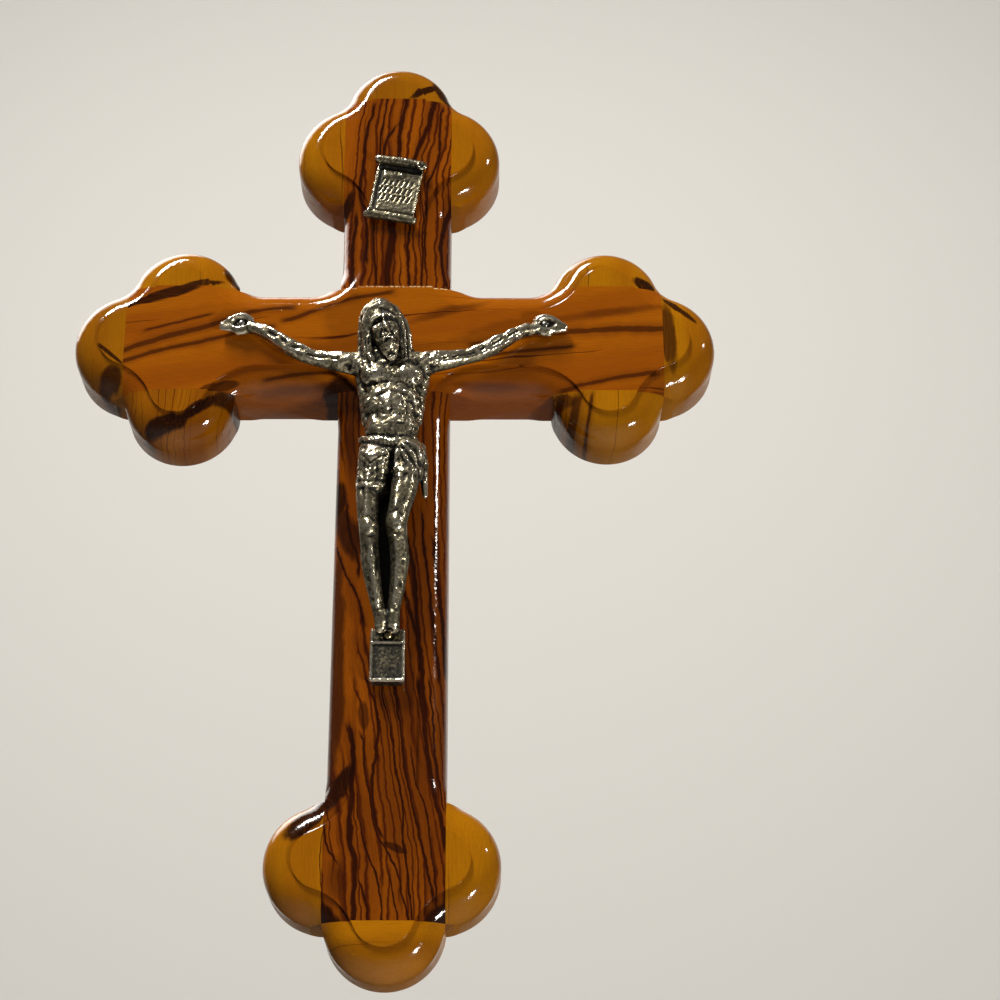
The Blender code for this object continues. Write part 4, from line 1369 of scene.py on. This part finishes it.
def set_camera():
    data = bpy.data.cameras.new("camera")
    data.lens = FOCAL_LENGTH
    data.sensor_width = SENSOR_WIDTH
    data.clip_start = NEAREST_SEEN
    data.clip_end = FARTHEST_SEEN
    camera = bpy.data.objects.new("camera", data)
    bpy.context.scene.collection.objects.link(camera)
    turn = Matrix((CAMERA_RIGHT, CAMERA_UP, CAMERA_BACK)).transposed().to_4x4()
    camera.matrix_world = Matrix.Translation(CAMERA_PLACE) @ turn
    bpy.context.scene.camera = camera


def lamp(name, direction, distance, width, height, watts, spread):
    data = bpy.data.lights.new(name, "AREA")
    data.shape = "RECTANGLE"
    data.size = width
    data.size_y = height
    data.energy = watts
    data.color = LAMP_COLOUR
    data.spread = math.radians(spread)
    light = bpy.data.objects.new(name, data)
    bpy.context.scene.collection.objects.link(light)
    right, up, out = direction
    way = Vector((right, -out, up)).normalized()
    light.location = way * distance + Vector(LAMP_AIM)
    light.rotation_euler = way.to_track_quat("Z", "Y").to_euler()


def stage():
    paper, shader, _ = new_finish("studio_paper")
    shader.inputs["Base Color"].default_value = STUDIO_GREY
    shader.inputs["Roughness"].default_value = 0.9
    for name, place, turn, size in (
        ("studio_floor", (0, 0, -1.5), (0, 0, 0), 12.0),
        ("studio_backdrop", (0, 1.1, 1.35), (math.pi / 2, 0, 0), 3.0),
    ):
        put_down()
        bpy.ops.mesh.primitive_plane_add(size=size, location=place, rotation=turn)
        sheet = settle(bpy.context.object, name)
        sheet.data.materials.append(paper)


def light_the_room():
    world = bpy.data.worlds.new("studio")
    bpy.context.scene.world = world
    world.use_nodes = True
    sky = world.node_tree.nodes["Background"]
    sky.inputs["Color"].default_value = SKY_COLOUR
    sky.inputs["Strength"].default_value = SKY_STRENGTH
    for name, settings in LAMPS.items():
        lamp(name, *settings)
    bpy.data.objects["backdrop_wash"].rotation_euler = (WASH_TILT, 0, 0)
    bpy.context.scene.view_settings.view_transform = "Standard"


def make_wood():
    shape = moulding()
    bores = nail_bores()
    upright, hanging_hole = upright_block()
    cross = cross_block()
    beams = ((upright, "upright_beam", "upright_wood"), (cross, "cross_beam", "arm_wood"))
    for piece, node, slot in beams:
        cut(piece, shape, "INTERSECT", keep_tool=True)
        cut(piece, bores, keep_tool=True)
        if piece is upright:
            cut(piece, hanging_hole)
        hand_over(piece, node, wood_finish(node), WOOD_CREASE)
    for element in cross_elements():
        if isinstance(element, Lobe):
            piece = cut(lobe_block(element), shape, "INTERSECT", keep_tool=True)
            hand_over(piece, element.name, wood_finish(element.name), WOOD_CREASE)
    bpy.data.objects.remove(shape)
    return bores


# How each piece of wood is figured, in millimetres: veins are (half width, [(along the grain, across), ...]),
# and stains, one of them on the arm partly a painted shadow, are (strength, centre, size, turn in degrees)

UPRIGHT_VEINS = (
    (0.33, [(46, 1.2), (43, 1), (39.6, 0.4), (37.2, 0.3), (31, 0.3)]),
    (0.42, [(46, 6.2), (43.6, 5.7), (39.6, 5), (35.2, 3.4), (31, 2.4)]),
    (0.3, [(44.5, -3.7), (40.8, -4.5), (36.4, -5.4), (30.9, -5.7), (27.5, -6.1), (22.8, -5), (18.1, -4.8),
        (13, -4.9)]),
    (0.22, [(40.1, 0.2), (37.6, -1.4), (34.7, -2.3), (31, -2.5)]),
    (0.15, [(46, -1.8), (40.8, -2.3), (37.2, -2.8), (31, -3)]),
    (0.2, [(44.5, 7.3), (38.4, 6.8), (33.6, 6.7), (30, 5.7), (27.1, 4.9), (22, 4.6)]),
    (0.6, [(23.5, -1.1), (21.4, -0.9), (18.2, -0.6), (14.7, -1.1), (8, -1.5)]),
    (0.2, [(22.5, 2.3), (20.5, 2.2), (15.9, 2), (8, 2.4)]),
    (0.13, [(26, 4), (18.2, 4.2), (8, 4.2)]),
    (0.2, [(22.5, -3.5), (15.8, -3.6), (8, -2.8)]),
    (0.35, [(27, 8.7), (25.2, 8.6), (20.5, 7.4), (15.9, 7.2), (12.4, 7.5), (8.5, 8.2)]),
    (0.3, [(24, -6.6), (20.5, -6.7), (15.8, -7), (8, -6.6)]),
    (0.2, [(-34, -8.3), (-36.7, -7.7), (-39.9, -6.6), (-43.3, -4.8), (-49, -3.3)]),
    (0.25, [(-27, -7), (-33.4, -6.1), (-36.6, -5), (-41, -4.5)]),
    (0.35, [(-33, 2.2), (-41.5, 3.8), (-45.2, 4.1), (-49.9, 4.4), (-55.6, 5), (-64, 5.7)]),
    (0.3, [(-40.5, 1.5), (-42, 1.9), (-46, 3.1), (-50.5, 4.3)]),
    (0.22, [(-29, 4.6), (-37.2, 5.3), (-45.2, 6.3), (-53, 7.2), (-57, 7.6)]),
    (0.28, [(-33, 6.4), (-35.6, 6.6), (-42.5, 7.3), (-47.8, 7.9), (-56, 8.5)]),
    (0.22, [(-55.5, -3.5), (-58.2, -2.5), (-62.7, -1.2), (-66.5, -1.3), (-70.2, -1.7), (-74.4, -1.7),
        (-78.5, -0.9), (-81, 0.9)]),
    (0.15, [(-55.5, -0.7), (-58.2, -0.6), (-62, 0.2), (-70.2, 1.6), (-75.6, 2.4), (-80.5, 2.7),
        (-85.3, 3.5), (-93.5, 4.2)]),
    (0.2, [(-55.5, 0.8), (-63.8, 2), (-71.2, 3), (-76.6, 4.1), (-80.5, 5.1), (-84.8, 6.1), (-90, 7.2)]),
    (0.36, [(-55.5, 4.4), (-64.3, 5.6), (-68.7, 6.1), (-74.2, 7.1), (-78.1, 8.1), (-83, 8.7)]),
    (0.16, [(-55.5, 6), (-63.2, 6.8), (-69.5, 7.3), (-77, 8.7)]),
    (0.4, [(-62.5, -6.2), (-65.8, -5), (-68.3, -4.7), (-75.6, -4.9), (-80.5, -4.8), (-84.1, -4),
        (-88.8, -4.1), (-93.5, -4)]),
    (0.16, [(-64, -4.4), (-66.5, -3.3), (-69.5, -3), (-74.4, -2.1), (-79.3, -1.1), (-82.9, 0.9),
        (-88.6, 2.9), (-93.5, 3.8)]),
    (0.13, [(-72.5, -4.2), (-78.1, -3.5), (-82.9, -2.2), (-86, -0.9), (-93.5, 0.2)]),
    (0.18, [(-77.5, -8.7), (-79.3, -8.4), (-81.2, -8), (-82.9, -7.3), (-84.6, -6.2)]),
    (0.18, [(-85.5, -4), (-88.3, -2.7), (-93.5, -2)]),
    (0.12, [(-84.5, 0.3), (-88.8, 1.5), (-93.5, 2.4)]),
    (0.13, [(-66, 3.4), (-72.2, 4.5), (-75.6, 5.7), (-80.5, 6.5), (-85.3, 7), (-90, 7.6)]),
)
UPRIGHT_BEND = [(-100, 10), (-75, 6.5), (-52, 3), (-20, 0), (10, 0), (30, 0.4), (52, 3.2)]
UPRIGHT_STAINS = (
    (1, (-8.2, -26.6), (1.3, 3), 0),
    (0.85, (-6.4, -33), (1.6, 4.5), 20),
    (1, (-6.8, -72.8), (1.3, 4.2), -28),
    (0.6, (-3.4, -62), (0.9, 2.2), 6),
    (0.85, (1.5, -81.6), (1.8, 0.55), -24),
    (0.3, (-6.4, -86.6), (1.4, 2.8), 10),
    (0.9, (-8, 25), (0.9, 2.6), -22),
    (1, (-8, -91.5), (1.7, 3.2), 40),
    (1, (8, -91.5), (1.8, 3.2), -40),
    (0.5, (-6.2, -19), (1, 5), 4),
    (0.6, (-7.9, -54), (1.5, 16), 0),
    (0.12, (2.5, -72), (6, 15), 0),
    (0.9, (-8.3, -72.5), (1.2, 2.6), 10),
)
ARM_VEINS = (
    (0.45, [(-44, -3.2), (-36.7, -0.3), (-27.9, 2.4), (-21.3, 4.8), (-15, 5.8)]),
    (0.34, [(-44, -5.2), (-36.6, -2.4), (-29, -0.6), (-22.7, 1.2), (-18, 2)]),
    (0.2, [(-40, 0.8), (-34, 2.6), (-28, 4.2)]),
    (0.34, [(-18.5, 2.6), (-16.5, 3.1), (-11.8, 5.2), (-5.9, 7.1), (0.5, 8.4)]),
    (0.5, [(11, -1.6), (17.2, -0.4), (22.8, 0.6), (32.3, 1.4), (37.3, 1.6), (44, 1.6)]),
    (0.26, [(14, -3.2), (22, -2.2), (29, -1.4)]),
    (0.36, [(25, -9.2), (27.9, -8.6), (34, -7.2), (42, -6)]),
    (0.3, [(-21, -7.2), (-14, -6.2), (-8, -6)]),
)
ARM_STAINS_AND_SHADOW = (
    (0.3, (8, 4.6), (5.5, 0.7), 18),
    (0.25, (34, 4.5), (9, 0.7), 8),
    (0.28, (-14, -8.2), (8, 0.6), 3),
    (0.95, (-36.8, 7.5), (6.6, 0.85), 17),
    (0.6, (-27.5, -8.7), (3.6, 0.7), 20),
    # Partly real dark heartwood, partly a painted shadow and painted dark reflection: the patch left of the
    # torso, under the figure's arm.
    (0.9, (-8.4, -9.8), (2.5, 3), 0),
    (0.18, (16, -7.9), (6.5, 0.6), -2),
)
DEEP_TONES = {"light": (0.35, 0.125, 0.001), "mid": (0.29, 0.095, 0.001)}
LOBE_FIGURE = {
    "head_top_lobe": {
        **DEEP_TONES,
        "stains_and_shadow": ((1, (4.3, 46.7), (3, 0.7), 38), (0.95, (7.6, 46.2), (0.9, 3.4), 38)),
    },
    "head_left_lobe": {"stains_and_shadow": ((0.95, (-10, 24.6), (1.9, 0.8), -35),)},
    "head_right_lobe": {},
    "left_arm_end_lobe": {
        **DEEP_TONES,
        "stains_and_shadow": ((0.85, (-44.2, -6.8), (1.9, 2.2), -20), (0.9, (-44.2, -3.1), (2.9, 0.3), -41)),
    },
    "left_arm_upper_lobe": {
        "stains_and_shadow": ((0.9, (-31, 9.6), (3.6, 0.6), 12), (0.95, (-25.6, 11.4), (1.3, 2.6), 35)),
    },
    "left_arm_lower_lobe": {
        "light": (0.36, 0.118, 0.001),
        "mid": (0.27, 0.078, 0.001),
        "line_share": 0.75,
        "line_gap": 0.9,
        "line_width": 0.1,
        "jag": 0.6,
        "stains_and_shadow": (
            (1, (-35.2, -14.7), (3.9, 1.4), 14),
            (1, (-30, -12.1), (3.2, 0.9), 38),
            (0.9, (-25, -10.4), (3, 1.5), 5),
        ),
    },
    "right_arm_end_lobe": {
        "stains_and_shadow": ((0.7, (43, 0.8), (1.1, 6.2), 4), (0.95, (44.8, 5.7), (3.4, 0.55), -40)),
    },
    "right_arm_upper_lobe": {"stains_and_shadow": ((1, (39.6, 10), (1.8, 1.1), -30),)},
    "right_arm_lower_lobe": {
        "veins": (
            (0.6, [(-9, 26.2), (-19, 24.4)]),
            (0.7, [(-9, 28.9), (-19, 26.8)]),
            (0.25, [(-9, 31), (-19, 29.4)]),
        ),
        "vein_strength": 0.8,
        "stains_and_shadow": ((0.6, (25.8, -10.6), (2.4, 1.2), 0),),
    },
    "foot_left_lobe": {"stains_and_shadow": ((1, (-11, -77.4), (4, 1.5), 38), (1, (-9.4, -74), (1, 2), 0))},
    "foot_right_lobe": {},
    "foot_bottom_lobe": {"light": (0.5, 0.18, 0.001), "grain": "x"},
}
LOBE_TONES = {"light": (0.44, 0.165, 0.001), "mid": (0.37, 0.125, 0.001)}
FIRST_LOBE_SEED = 20.0
LOBE_SEED_STEP = 3.7


def wood_finish(node):
    if node == "upright_beam":
        return olive_wood(
            "streaked_olive_wood",
            seed=4.0,
            light=(0.33, 0.080, 0.001),
            mid=(0.22, 0.048, 0.0008),
            fine_share=0.3,
            jag=0.75,
            bend=UPRIGHT_BEND,
            line_gap=1.15,
            line_width=0.46,
            line_share=1.15,
            waviness=0.5,
            veins=UPRIGHT_VEINS,
            stains_and_shadow=UPRIGHT_STAINS,
            clear=(((-7.0, -44.0), (2.5, 24.0)),),
        )
    if node == "cross_beam":
        return olive_wood(
            "orange_olive_wood",
            grain="x",
            seed=11.0,
            light=(0.405, 0.110, 0.0012),
            mid=(0.315, 0.075, 0.001),
            slope=-0.14,
            line_share=0.3,
            line_gap=2.2,
            fine_share=0.15,
            waviness=0.5,
            vein_strength=0.72,
            veins=ARM_VEINS,
            stains_and_shadow=ARM_STAINS_AND_SHADOW,
            # The painted highlight along the seam above the crossing
            seam_glint=(9.12, 8.8),
        )
    seed = FIRST_LOBE_SEED + LOBE_SEED_STEP * sorted(LOBE_FIGURE).index(node)
    return olive_wood(f"{node}_sapwood", seed, **{**LOBE_TONES, **LOBE_FIGURE[node]})


set_camera()
stage()
light_the_room()
bores = make_wood()
make_metal(bores)
bpy.data.objects.remove(bores)
